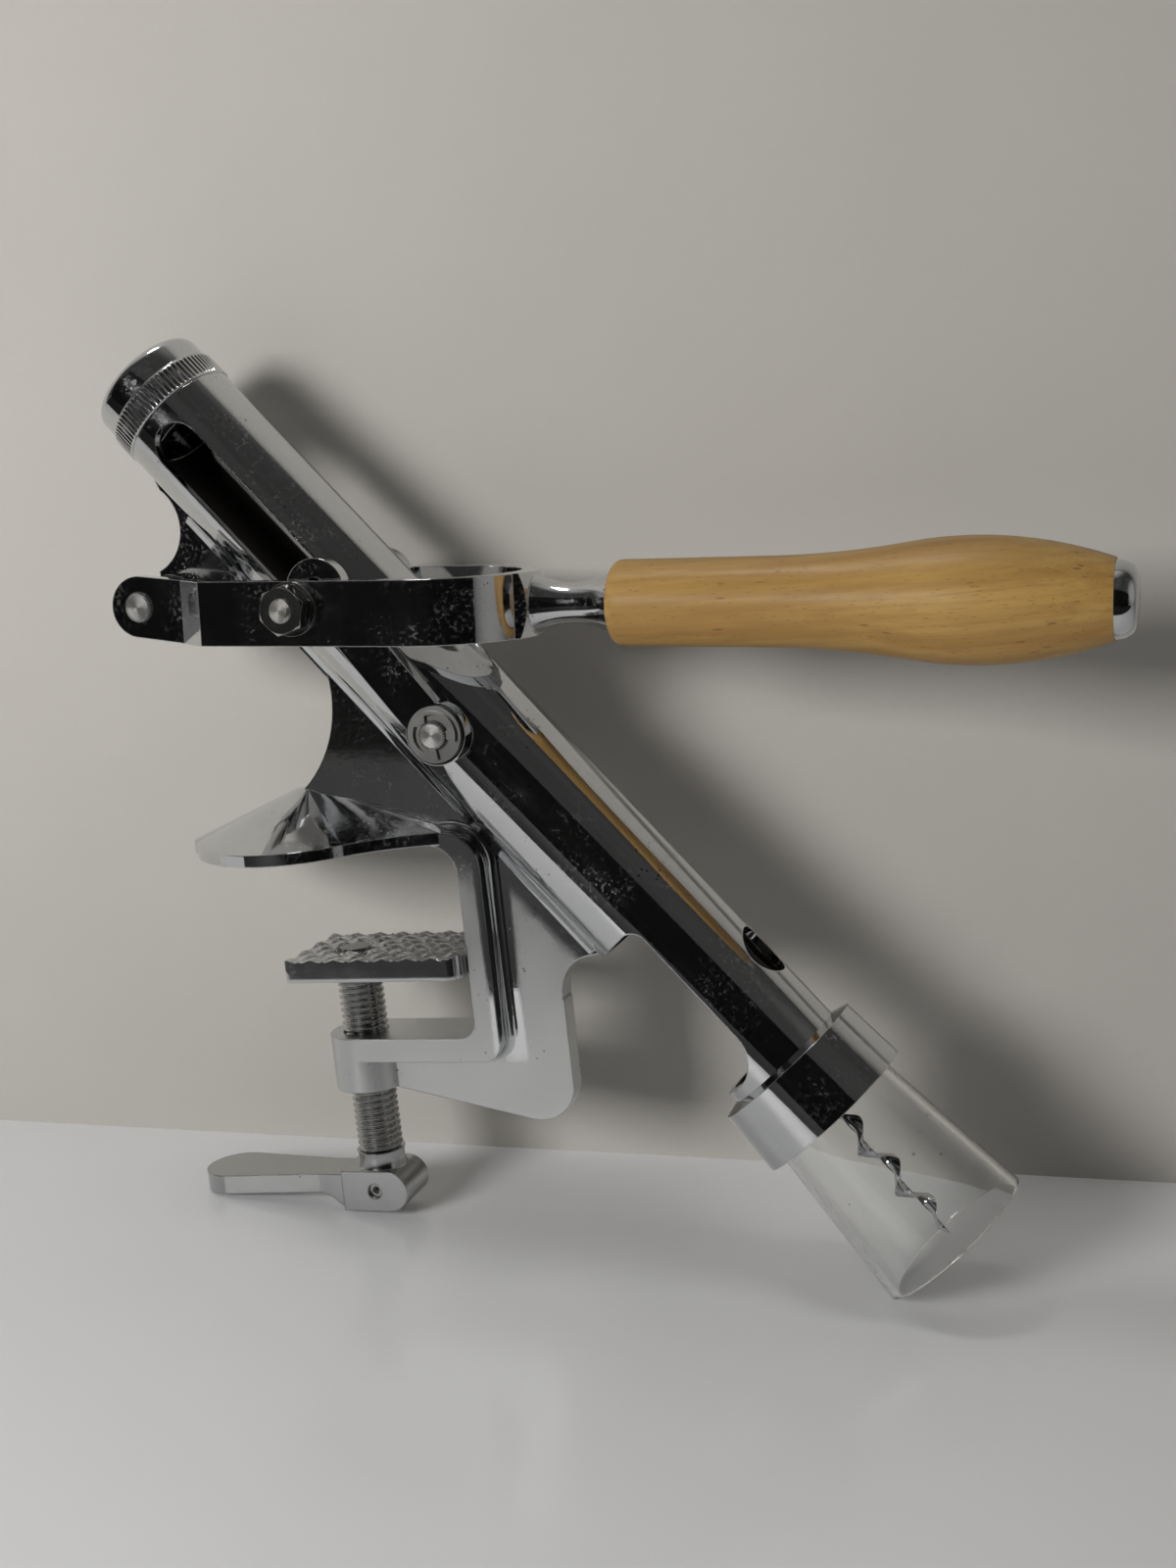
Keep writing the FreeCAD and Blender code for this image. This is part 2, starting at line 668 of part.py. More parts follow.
cup = turned("bottle_cup",
             ("cup_neck_dia / 2 - cup_wall", "barrel_below + seat_gap"),
             ("cup_neck_dia / 2", "barrel_below + seat_gap"),
             ("cup_neck_dia / 2", COLLAR_END),
             ("cup_mouth_dia / 2", f"{COLLAR_END} + cup_length"),
             ("cup_mouth_dia / 2 - cup_wall", f"{COLLAR_END} + cup_length"),
             ("cup_neck_dia / 2 - cup_wall", COLLAR_END))
place_in_barrel(cup)
PIECES.append(cup)

nut = turned("spindle_nut",
             ("spindle_dia / 2 + running_gap", "nut_seat - nut_length"),
             ("carriage_bore / 2 - press_gap", "nut_seat - nut_length"),
             ("carriage_bore / 2 - press_gap", "nut_seat"),
             ("spindle_dia / 2 + running_gap", "nut_seat"))
place_in_barrel(nut)
PIECES.append(nut)

# ---------------------------------------------------------------------------- carriage

SOCKET = f"({PIN} + head_socket_start)"
CARRIAGE_END = f"({PIN} + carriage_below)"
carriage = turned("carriage",
                  ("0", f"{PIN} - carriage_above"),
                  ("carriage_bore / 2 - running_gap", f"{PIN} - carriage_above"),
                  ("carriage_bore / 2 - running_gap", CARRIAGE_END),
                  ("head_socket_dia / 2", CARRIAGE_END),
                  ("head_socket_dia / 2", SOCKET),
                  ("0", SOCKET))
pin_hole = new_sketch(carriage, "XZ_Plane", "pin_hole")
circle(pin_hole, "0", PIN, "carriage_pin_dia + 2 * press_gap")
pocket(carriage, pin_hole, "carriage_bore + 2", symmetric=True)
place_in_barrel(carriage)
PIECES.append(carriage)

HEAD_TOP = f"({SOCKET} + thrust_washer_thickness + 2 * seat_gap)"
HEAD_END = f"({HEAD_TOP} + spindle_head_length)"
thrust_washer = turned("thrust_washer",
                       ("0", f"{SOCKET} + seat_gap"),
                       ("head_socket_dia / 2 - running_gap", f"{SOCKET} + seat_gap"),
                       ("head_socket_dia / 2 - running_gap", f"{HEAD_TOP} - seat_gap"),
                       ("0", f"{HEAD_TOP} - seat_gap"))
place_in_barrel(thrust_washer)
PIECES.append(thrust_washer)

retainer = turned("spindle_retainer",
                  ("spindle_dia / 2 + running_gap", f"{HEAD_END} + seat_gap"),
                  ("head_socket_dia / 2 - press_gap", f"{HEAD_END} + seat_gap"),
                  ("head_socket_dia / 2 - press_gap", CARRIAGE_END),
                  ("spindle_dia / 2 + running_gap", CARRIAGE_END))
place_in_barrel(retainer)
PIECES.append(retainer)

carriage_pin = DOC.addObject("Part::Cylinder", "carriage_pin")
bind(carriage_pin, Radius="carriage_pin_dia / 2", Height="carriage_pin_length")
place_across(carriage_pin, PIN_X, PIN_Z, "-carriage_pin_length / 2", 1)
PIECES.append(carriage_pin)

PIN_BORE = "(carriage_pin_dia + 2 * press_gap)"
for side, sign in SIDES:
    bushing = ring("slot_bushing_" + side, "bushing_dia", PIN_BORE,
                   "link_inner - side_gap - carriage_bore / 2")
    place_across(bushing, PIN_X, PIN_Z, "carriage_bore / 2", sign)
    washer = ring("pin_washer_" + side, "pin_washer_dia", PIN_BORE, "pin_washer_thickness")
    place_across(washer, PIN_X, PIN_Z, f"{LINK_OUTER} + seat_gap", sign)
    clip = ring("pin_clip_" + side, "clip_dia", PIN_BORE, "clip_thickness")
    place_across(clip, PIN_X, PIN_Z, f"{LINK_OUTER} + pin_washer_thickness + 2 * seat_gap", sign)
    PIECES += [bushing, washer, clip]

# ---------------------------------------------------------------------------- spindle and worm

spindle = turned("spindle",
                 ("0", HEAD_TOP),
                 ("spindle_head_dia / 2", HEAD_TOP),
                 ("spindle_head_dia / 2", HEAD_END),
                 ("spindle_dia / 2", HEAD_END),
                 ("spindle_dia / 2", "spindle_end"),
                 ("worm_shank_dia / 2 + press_gap", "spindle_end"),
                 ("worm_shank_dia / 2 + press_gap", "spindle_end - worm_shank_length"),
                 ("0", "spindle_end - worm_shank_length"))
place_in_barrel(spindle)
PIECES.append(spindle)

WORM_TOP = "(spindle_end + worm_start)"
WORM_END = f"({WORM_TOP} + worm_length)"
worm = turned("worm",
              ("0", "spindle_end - worm_shank_length + seat_gap"),
              ("worm_shank_dia / 2", "spindle_end - worm_shank_length + seat_gap"),
              ("worm_shank_dia / 2", WORM_TOP, "round", "worm_shank_dia / 2"),
              ("0", f"{WORM_TOP} + worm_shank_dia / 2"))
wire = new_sketch(worm, "XZ_Plane", "wire")
outline(wire,
        ("worm_core_dia / 2", WORM_TOP),
        ("worm_core_dia / 2 + worm_web / 2", f"{WORM_TOP} - worm_web / 2"),
        ("worm_dia / 2", WORM_TOP),
        ("worm_core_dia / 2 + worm_web / 2", f"{WORM_TOP} + worm_web / 2"))
coil = worm.newObject("PartDesign::AdditiveHelix", "worm_coil")
coil.Profile = wire
coil.ReferenceAxis = (wire, ["V_Axis"])
coil.Mode = "pitch-height-angle"
bind(coil, Pitch="worm_lead", Height="worm_length")
DOC.recompute()
point = new_sketch(worm, "XZ_Plane", "point")
outline(point,
        ("worm_core_dia / 2", f"{WORM_END} + worm_web"),
        ("worm_dia / 2 + worm_web", f"{WORM_END} - worm_point"),
        ("worm_dia / 2 + worm_web", f"{WORM_END} + worm_web"))
turn(worm, point, "V_Axis", "Groove")
place_in_barrel(worm)
PIECES.append(worm)

# ---------------------------------------------------------------------------- links

for side, sign in SIDES:
    link = new_body("link_" + side)
    lift = "link_inner" if side == "near" else "-link_inner - link_thickness"
    bar = new_sketch(link, "XZ_Plane", "bar", lift=lift)
    outline(bar,
            ("0", "-link_width / 2"),
            ("link_length", "-link_width / 2"),
            ("link_length", "link_width / 2"),
            ("0", "link_width / 2"))
    pad(link, bar, "link_thickness")
    for name, x in (("pin_end", "0"), ("stud_end", "link_length")):
        end = new_sketch(link, "XZ_Plane", name, lift=lift)
        circle(end, x, "0", "link_eye_dia")
        pad(link, end, "link_thickness")
    for name, x, bore in (("pin_eye", "0", "carriage_pin_dia + 2 * running_gap"),
                          ("stud_eye", "link_length", "stud_dia + 2 * stud_play")):
        eye = new_sketch(link, "XZ_Plane", name)
        circle(eye, x, "0", bore)
        pocket(link, eye, "4 * (link_inner + link_thickness)", symmetric=True)
    place(link, PIN_X, "0", PIN_Z, LINK_TURN)
    PIECES.append(link)

# ---------------------------------------------------------------------------- lever

lever = new_body("lever_fork")
ARM_TOP = "(arm_height / 2 - grip_drop)"
ARM_FOOT = "(-arm_height / 2 - grip_drop)"
EAR_OUTER = "(ear_inner + ear_thickness)"

fork = new_sketch(lever, "XY_Plane", "fork", lift=ARM_FOOT)
outline(fork,
        ("ear_reach", f"-{EAR_OUTER}"),
        ("set_end", f"-{ARM_OUTER}"),
        ("ring_centre", f"-{ARM_OUTER}", "round", ARM_OUTER),
        (f"ring_centre + {ARM_OUTER}", "0", "round", ARM_OUTER),
        ("ring_centre", ARM_OUTER),
        ("set_end", ARM_OUTER),
        ("ear_reach", EAR_OUTER),
        ("ear_reach", "ear_inner"),
        ("set_end", "arm_inner"),
        ("ring_centre", "arm_inner", "hollow", "arm_inner"),
        ("ring_centre + arm_inner", "0", "hollow", "arm_inner"),
        ("ring_centre", "-arm_inner"),
        ("set_end", "-arm_inner"),
        ("ear_reach", "-ear_inner"))
pad(lever, fork, "arm_height")

ears = new_sketch(lever, "XZ_Plane", "ears")
outline(ears,
        ("0", "-ear_height / 2"),
        ("ear_reach", ARM_FOOT),
        ("ear_reach", ARM_TOP),
        ("0", "ear_height / 2", "round", "ear_height / 2"),
        ("-ear_height / 2", "0", "round", "ear_height / 2"))
pad(lever, ears, f"2 * {EAR_OUTER}", symmetric=True)
gap = new_sketch(lever, "XZ_Plane", "gap")
outline(gap,
        ("-ear_height", "-ear_height"),
        ("ear_reach", "-ear_height"),
        ("ear_reach", "ear_height"),
        ("-ear_height", "ear_height"))
pocket(lever, gap, "2 * ear_inner", symmetric=True)

root = new_sketch(lever, "XY_Plane", "root", lift=ARM_FOOT)
ROOT_X = f"(ring_centre + sqrt({ARM_OUTER} ^ 2 - root_half ^ 2))"
outline(root,
        ("neck_start - arm_thickness / 2", "-neck_dia / 2"),
        (f"{ROOT_X} - arm_thickness / 2", "-root_half"),
        (ROOT_X, "-root_half", "hollow", "root_curve"),
        (f"{ROOT_X} + root_curve", "root_curve - root_half"),
        (f"{ROOT_X} + root_curve", "root_half - root_curve", "hollow", "root_curve"),
        (ROOT_X, "root_half"),
        (f"{ROOT_X} - arm_thickness / 2", "root_half"),
        ("neck_start - arm_thickness / 2", "neck_dia / 2"))
pad(lever, root, "arm_height")

neck = new_sketch(lever, "XZ_Plane", "neck", y="-grip_drop")
outline(neck,
        ("neck_start - arm_thickness / 2", "0"),
        ("tang_end", "0"),
        ("tang_end", "tang_dia / 2"),
        ("grip_start", "tang_dia / 2"),
        ("grip_start", "neck_dia / 2", "sag", "neck_hollow"),
        ("neck_start", "neck_dia / 2"),
        ("neck_start - arm_thickness / 2", "neck_dia / 2"))
turn(lever, neck, "H_Axis")

shoulder = new_sketch(lever, "XZ_Plane", "shoulder", y="-grip_drop")
outline(shoulder,
        (f"{ROOT_X} + root_curve", "neck_dia / 2"),
        (f"{ROOT_X} + root_curve + 1", "neck_dia / 2"),
        (f"{ROOT_X} + root_curve + 1", "arm_height"),
        (f"{ROOT_X} + root_curve - root_shoulder", "arm_height"))
turn(lever, shoulder, "H_Axis", "Groove")

pin_bores = new_sketch(lever, "XZ_Plane", "pivot_bore")
circle(pin_bores, "0", "0", "pivot_pin_dia + 2 * press_gap")
pocket(lever, pin_bores, f"2 * {EAR_OUTER} + 2", symmetric=True)
stud_bores = new_sketch(lever, "XZ_Plane", "stud_bore")
circle(stud_bores, "arm_reach", "0", "stud_dia + 2 * press_gap")
pocket(lever, stud_bores, f"2 * {ARM_OUTER} + 2", symmetric=True)
place_in_lever(lever)
PIECES.append(lever)


def turned_on_grip(label, *corners):
    """A piece turned about the grip's axis; a corner is (distance from the pivot, radius)."""
    body = new_body(label)
    sketch = new_sketch(body, "XZ_Plane", "profile", y="-grip_drop")
    outline(sketch, *corners)
    turn(body, sketch, "H_Axis")
    place_in_lever(body)
    return body


TANG_BORE = "(tang_dia / 2 + press_gap)"
SLEEVE_BORE = "(button_sleeve_dia / 2 + press_gap)"
BUTTON_BASE = "(grip_end - button_sink)"
SLEEVE_START = f"({BUTTON_BASE} - button_sleeve_length)"
grip = turned_on_grip("wood_grip",
                      ("grip_start", TANG_BORE),
                      (f"{SLEEVE_START} - seat_gap", TANG_BORE),
                      (f"{SLEEVE_START} - seat_gap", SLEEVE_BORE),
                      (BUTTON_BASE, SLEEVE_BORE),
                      (BUTTON_BASE, "button_dia / 2 + seat_gap"),
                      ("grip_end", "button_dia / 2 + seat_gap"),
                      ("grip_end", "grip_end_dia / 2", "bow", "grip_bow"),
                      ("grip_swell", "grip_swell_dia / 2", "sag", "grip_hollow"),
                      ("grip_waist", "grip_waist_dia / 2"),
                      ("grip_start + grip_round", "grip_front_dia / 2", "round", "grip_round"),
                      ("grip_start", "grip_front_dia / 2 - grip_round"))
PIECES.append(grip)

button = turned_on_grip("grip_end_cap",
                        (SLEEVE_START, TANG_BORE),
                        (SLEEVE_START, "button_sleeve_dia / 2"),
                        (BUTTON_BASE, "button_sleeve_dia / 2"),
                        (BUTTON_BASE, "button_dia / 2"),
                        (f"{BUTTON_BASE} + button_sink", "button_dia / 2", "bow", "button_bow"),
                        (f"{BUTTON_BASE} + button_sink + button_height", "button_face_dia / 2"),
                        (f"{BUTTON_BASE} + button_sink + button_height", "0"),
                        ("tang_end + seat_gap", "0"),
                        ("tang_end + seat_gap", TANG_BORE))
PIECES.append(button)

pivot_pin = DOC.addObject("Part::Cylinder", "rear_pivot_pin")
bind(pivot_pin, Radius="pivot_pin_dia / 2", Height="pivot_pin_length")
place_across(pivot_pin, PIVOT_X, PIVOT_Z, "-pivot_pin_length / 2", 1)
PIECES.append(pivot_pin)

STUD_BORE = "(stud_dia + 2 * press_gap)"
for side, sign in SIDES:
    stud = DOC.addObject("Part::Cylinder", "link_stud_" + side)
    bind(stud, Radius="stud_dia / 2", Height="stud_length")
    place_across(stud, STUD_X, STUD_Z, "arm_inner", sign)
    washer = ring("stud_washer_" + side, "stud_washer_dia", STUD_BORE, "stud_washer_thickness")
    place_across(washer, STUD_X, STUD_Z, ARM_OUTER, sign)
    hexagon = DOC.addObject("Part::Prism", "stud_nut_blank_" + side)
    hexagon.Polygon = 6
    bind(hexagon, Circumradius="nut_width / 2 / cos(30)", Height="nut_thickness")
    bore = DOC.addObject("Part::Cylinder", "stud_nut_bore_" + side)
    bind(bore, Radius=f"{STUD_BORE} / 2", Height="nut_thickness")
    stud_nut = DOC.addObject("Part::Cut", "stud_nut_" + side)
    stud_nut.Base = hexagon
    stud_nut.Tool = bore
    place_across(stud_nut, STUD_X, STUD_Z, f"{ARM_OUTER} + stud_washer_thickness", sign)
    PIECES += [stud, washer, stud_nut]

# ---------------------------------------------------------------------------- clamp

plate = new_body("jaw_plate")
PLATE_END = "(throat_depth - side_gap)"
face = new_sketch(plate, "XY_Plane", "plan", lift="-clamp_opening - plate_thickness")
outline(face,
        ("-plate_back", "-plate_half_width"),
        (f"{PLATE_END} - plate_corner", "-plate_half_width", "round", "plate_corner"),
        (PLATE_END, "plate_corner - plate_half_width"),
        (PLATE_END, "plate_half_width - plate_corner", "round", "plate_corner"),
        (f"{PLATE_END} - plate_corner", "plate_half_width"),
        ("-plate_back", "plate_half_width"))
pad(plate, face, "plate_thickness")
recess = new_sketch(plate, "XY_Plane", "tip_recess", lift="-clamp_opening")
circle(recess, "0", "0", "tip_recess_dia")
pocket(plate, recess, "tip_recess_depth")
neck_bore = new_sketch(plate, "XY_Plane", "neck_bore", lift="-clamp_opening")
circle(neck_bore, "0", "0", "screw_neck_dia + 2 * running_gap")
pocket(plate, neck_bore, "plate_thickness + 1")
PIECES.append(plate)

CLIP_SEAT = "(-clamp_opening - tip_recess_depth + seat_gap)"
CLIP_TOP = f"({CLIP_SEAT} + tip_clip_thickness)"
GROOVE_GAP = "press_gap"
screw = turned("clamp_screw",
               ("0", f"{SCREW_END} - screw_shank_length"),
               ("screw_shank_dia / 2", f"{SCREW_END} - screw_shank_length"),
               ("screw_shank_dia / 2", SCREW_END),
               ("screw_dia / 2", SCREW_END),
               ("screw_dia / 2", f"{PLATE_UNDER} - seat_gap"),
               ("screw_neck_dia / 2", f"{PLATE_UNDER} - seat_gap"),
               ("screw_neck_dia / 2", f"{CLIP_SEAT} - {GROOVE_GAP}"),
               ("tip_groove_dia / 2", f"{CLIP_SEAT} - {GROOVE_GAP}"),
               ("tip_groove_dia / 2", f"{CLIP_TOP} + {GROOVE_GAP}"),
               ("screw_neck_dia / 2", f"{CLIP_TOP} + {GROOVE_GAP}"),
               ("screw_neck_dia / 2", "-clamp_opening - seat_gap"),
               ("0", "-clamp_opening - seat_gap"))
cross_hole = new_sketch(screw, "XZ_Plane", "cross_hole")
circle(cross_hole, "0", HUB_AXIS, "crank_pin_dia + 2 * press_gap")
pocket(screw, cross_hole, "screw_dia", symmetric=True)
PIECES.append(screw)

tip_clip = ring("screw_tip_clip", "tip_clip_dia", "tip_groove_dia + 2 * press_gap",
                "tip_clip_thickness")
place(tip_clip, z=CLIP_SEAT)
PIECES.append(tip_clip)

crank = new_body("clamp_crank")
HUB_RADIUS = "crank_hub_height / 2"
BLADE_TOP = f"({HUB_TOP} - crank_blade_drop)"
BLADE_UNDER = f"({BLADE_TOP} - crank_blade_thickness)"
HUB_UNDER = f"({HUB_TOP} - crank_hub_height)"
blade = new_sketch(crank, "XY_Plane", "blade",
                   lift=BLADE_UNDER)
outline(blade,
        ("0", "-crank_waist_half"),
        ("0", "crank_waist_half"),
        ("-crank_waist", "crank_waist_half"),
        ("-crank_reach + crank_tip_half", "crank_tip_half", "round", "crank_tip_half"),
        ("-crank_reach", "0", "round", "crank_tip_half"),
        ("-crank_reach + crank_tip_half", "-crank_tip_half"),
        ("-crank_waist", "-crank_waist_half"))
pad(crank, blade, "crank_blade_thickness")
heel = new_sketch(crank, "XZ_Plane", "heel")
outline(heel,
        ("-crank_heel", HUB_UNDER),
        ("0", HUB_UNDER),
        ("0", BLADE_TOP),
        ("-crank_waist", BLADE_TOP),
        ("-crank_waist", BLADE_UNDER, "sag", "crank_heel_curve"),
        ("-(crank_waist + crank_heel) / 2", f"({BLADE_UNDER} + {HUB_UNDER}) / 2", "bow",
         "crank_heel_curve"))
pad(crank, heel, "2 * crank_waist_half", symmetric=True)
hub = new_sketch(crank, "XZ_Plane", "hub")
outline(hub,
        ("-crank_hub_nose", f"{HUB_AXIS} - {HUB_RADIUS}"),
        (f"crank_hub_nose - {HUB_RADIUS}", f"{HUB_AXIS} - {HUB_RADIUS}", "round", HUB_RADIUS),
        ("crank_hub_nose", HUB_AXIS, "round", HUB_RADIUS),
        (f"crank_hub_nose - {HUB_RADIUS}", HUB_TOP),
        ("-crank_hub_nose", HUB_TOP))
pad(crank, hub, "2 * crank_hub_half_width", symmetric=True)
skirt = new_sketch(crank, "XZ_Plane", "skirt")
outline(skirt,
        ("0", HUB_AXIS),
        ("crank_skirt_dia / 2 - 1", HUB_AXIS),
        ("crank_skirt_dia / 2 - 1", HUB_TOP, "sag", "crank_skirt_hollow"),
        ("crank_collar_dia / 2", SCREW_END),
        ("0", SCREW_END))
turn(crank, skirt)
shank_bore = new_sketch(crank, "XY_Plane", "shank_bore", lift=SCREW_END)
circle(shank_bore, "0", "0", "screw_shank_dia + 2 * press_gap")
pocket(crank, shank_bore, "screw_shank_length + seat_gap")
crank_pin_hole = new_sketch(crank, "XZ_Plane", "pin_hole")
circle(crank_pin_hole, "0", HUB_AXIS, "crank_pin_dia + 2 * press_gap")
pocket(crank, crank_pin_hole, "2 * crank_hub_half_width + 2", symmetric=True)
PIECES.append(crank)

crank_pin = ring("crank_pin", "crank_pin_dia", "crank_pin_bore",
                 "2 * crank_hub_half_width - 2 * crank_pin_recess")
place_across(crank_pin, "0", HUB_AXIS, "crank_pin_recess - crank_hub_half_width", 1)
PIECES.append(crank_pin)

# ---------------------------------------------------------------------------- files

DOC.recompute()
for thing in DOC.Objects:
    if "Invalid" in thing.State or "Error" in thing.State:
        raise RuntimeError(f"{thing.Label} failed")
for piece in PIECES:
    if piece.Shape.isNull() or not piece.Shape.isValid() or len(piece.Shape.Solids) != 1:
        raise RuntimeError(f"{piece.Label} has no sound shape")
os.makedirs("parts", exist_ok=True)
for piece in PIECES:
    piece.Shape.exportStep(f"parts/{piece.Label}.step")
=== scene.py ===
import json
import math

import bmesh
import bpy
from mathutils import Matrix, Vector


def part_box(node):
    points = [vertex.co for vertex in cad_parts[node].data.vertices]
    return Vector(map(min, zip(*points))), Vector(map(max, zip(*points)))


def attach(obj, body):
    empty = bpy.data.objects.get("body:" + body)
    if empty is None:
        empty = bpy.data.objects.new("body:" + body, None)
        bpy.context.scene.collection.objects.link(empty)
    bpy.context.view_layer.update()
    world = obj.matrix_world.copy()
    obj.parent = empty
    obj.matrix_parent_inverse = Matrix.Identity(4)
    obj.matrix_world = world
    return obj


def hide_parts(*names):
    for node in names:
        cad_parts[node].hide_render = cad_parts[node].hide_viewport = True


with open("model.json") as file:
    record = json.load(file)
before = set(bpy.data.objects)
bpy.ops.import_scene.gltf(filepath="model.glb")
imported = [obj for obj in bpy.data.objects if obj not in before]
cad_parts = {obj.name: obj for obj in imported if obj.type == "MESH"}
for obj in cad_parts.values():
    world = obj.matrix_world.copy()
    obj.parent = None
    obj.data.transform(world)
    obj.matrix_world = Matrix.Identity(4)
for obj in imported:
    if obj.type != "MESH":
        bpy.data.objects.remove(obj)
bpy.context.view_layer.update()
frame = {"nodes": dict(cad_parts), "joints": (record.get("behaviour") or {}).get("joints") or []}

# Lengths are in millimetres up to the point where a mesh, lamp or camera is made, and in metres
# inside materials.  A station is a distance along a piece's own axis, and a profile is a list of
# (station, radius).
MM = 0.001
SIDES = ("near", "far")

# ------------------------------------------------------------------ places, from the frame

JOINTS = {joint["name"]: joint for joint in frame["joints"]}
PIN = Vector(JOINTS["link_swing"]["pos_m"]) / MM          # carriage pin, on the barrel's axis
PIVOT = Vector(JOINTS["lever_raise"]["pos_m"]) / MM       # rear pivot of the lever
DOWN = -Vector(JOINTS["carriage_slide"]["axis"])          # along the barrel, towards the cup
OUT = Vector((-DOWN.z, 0, DOWN.x))                        # square to the barrel, up and forward
ACROSS = Vector((0, 1, 0))
UP = Vector((0, 0, 1))
ORIGIN = Vector((0, 0, 0))


def points(node):
    return [vertex.co / MM for vertex in frame["nodes"][node].data.vertices]


def middle(node):
    low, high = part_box(node)
    return (low + high) / 2 / MM


def polar(node, origin, axis):
    """A CAD node's points, each as its station along an axis and its distance from it."""
    offsets = [point - origin for point in points(node)]
    return [(offset.dot(axis), (offset - offset.dot(axis) * axis).length) for offset in offsets]


def span(node, origin, axis):
    """Where a CAD node starts and ends along an axis, and how far it reaches from it."""
    along, reaches = zip(*polar(node, origin, axis))
    return min(along), max(along), max(reaches)


def pair(node):
    return tuple(f"{node}_{side}" for side in SIDES)


# ------------------------------------------------------------------ shader nodes

def add(tree, kind, inputs=None, **settings):
    """Adds a shader node; an input takes a number, a colour or another node's output."""
    node = tree.nodes.new("ShaderNode" + kind)
    for key, value in settings.items():
        setattr(node, key, value)
    for key, value in (inputs or {}).items():
        if isinstance(value, bpy.types.NodeSocket):
            tree.links.new(value, node.inputs[key])
        else:
            node.inputs[key].default_value = value
    return node


def new_material(name):
    made = bpy.data.materials.new(name)
    made.use_nodes = True
    tree = made.node_tree
    place = add(tree, "TexCoord").outputs["Object"]
    return made, tree, tree.nodes["Principled BSDF"], place


def noise(tree, place, scale, detail=3.0, roughness=0.55):
    return add(tree, "TexNoise", {"Vector": place, "Scale": scale, "Detail": detail,
                                  "Roughness": roughness}).outputs["Fac"]


def cells(tree, place, scale=1.0):
    return add(tree, "TexVoronoi", {"Vector": place, "Scale": scale, "Randomness": 1.0}).outputs


def ramp(tree, value, low, high, start=0.0, end=1.0):
    """Takes low..high smoothly to start..end."""
    return add(tree, "MapRange", {"Value": value, "From Min": low, "From Max": high,
                                  "To Min": start, "To Max": end},
               interpolation_type="SMOOTHSTEP").outputs["Result"]


def maths(tree, operation, *values):
    return add(tree, "Math", dict(enumerate(values)), operation=operation).outputs[0]


def times(tree, *values):
    product = values[0]
    for value in values[1:]:
        product = maths(tree, "MULTIPLY", product, value)
    return product


def total(tree, *values):
    result = values[0]
    for value in values[1:]:
        result = maths(tree, "ADD", result, value)
    return result


def stripes(tree, distance, pitch):
    """A sine wave of the given pitch along a distance."""
    return maths(tree, "SINE", times(tree, distance, 2 * math.pi / pitch))


def mix(tree, share, first, second):
    return add(tree, "Mix", {0: share, 2: first, 3: second}).outputs[0]


def blend(tree, share, first, second):
    return add(tree, "Mix", {0: share, 6: first, 7: second}, data_type="RGBA").outputs[2]


def shaded(colour, share):
    return [part * share for part in colour[:3]] + [1]


def stretched(tree, place, scale, turn=(0, 0, 0)):
    return add(tree, "Mapping", {"Vector": place, "Scale": scale, "Rotation": turn}).outputs[0]


def bump(tree, height, distance, strength=1.0, normal=None):
    inputs = {"Height": height, "Distance": distance, "Strength": strength}
    if normal is not None:
        inputs["Normal"] = normal
    return add(tree, "Bump", inputs).outputs["Normal"]


def source_of(shader, name):
    """The output that feeds one of a shader's inputs."""
    return shader.inputs[name].links[0].from_socket


def offset_from(tree, place, centre):
    return add(tree, "VectorMath", {0: place, 1: centre * MM}, operation="SUBTRACT").outputs[0]


def offset_along(tree, place, centre, direction):
    """Distance in metres from a centre along a direction."""
    return add(tree, "VectorMath", {0: offset_from(tree, place, centre), 1: direction},
               operation="DOT_PRODUCT").outputs[1]


def off_axis(tree, place, centre, axis):
    """Distance in metres from an axis through a centre."""
    square = add(tree, "VectorMath", {0: offset_from(tree, place, centre), 1: axis},
                 operation="CROSS_PRODUCT").outputs[0]
    return add(tree, "VectorMath", {0: square}, operation="LENGTH").outputs[1]


# ------------------------------------------------------------------ materials

CHROME = (0.66, 0.67, 0.68, 1)
DULL_CHROME = (0.62, 0.63, 0.63, 1)
TARNISH = (0.10, 0.075, 0.05, 1)
# Painted shade: the nearly black colour inside the barrel's bore.
BORE_SHADE_COLOUR = (0.035, 0.033, 0.03, 1)
ZINC = (0.46, 0.46, 0.45, 1)

# Scales of the metals' textures, per metre.
PATCHES = 55
WAVES = 90
PITS = 1100
PIT_GROUPS = 120
FILM = 950
FILM_PATCHES = 62
SCRATCHES = (260, 1900, 900)
SCRATCH_TURN = (0.3, 0.5, 0.2)
BEVEL_SAMPLES = 6

# The denoiser leaves hard-edged stains where a roughness crosses about 0.274, so gloss and
# gloss + haze of a metal stay on the same side of that.


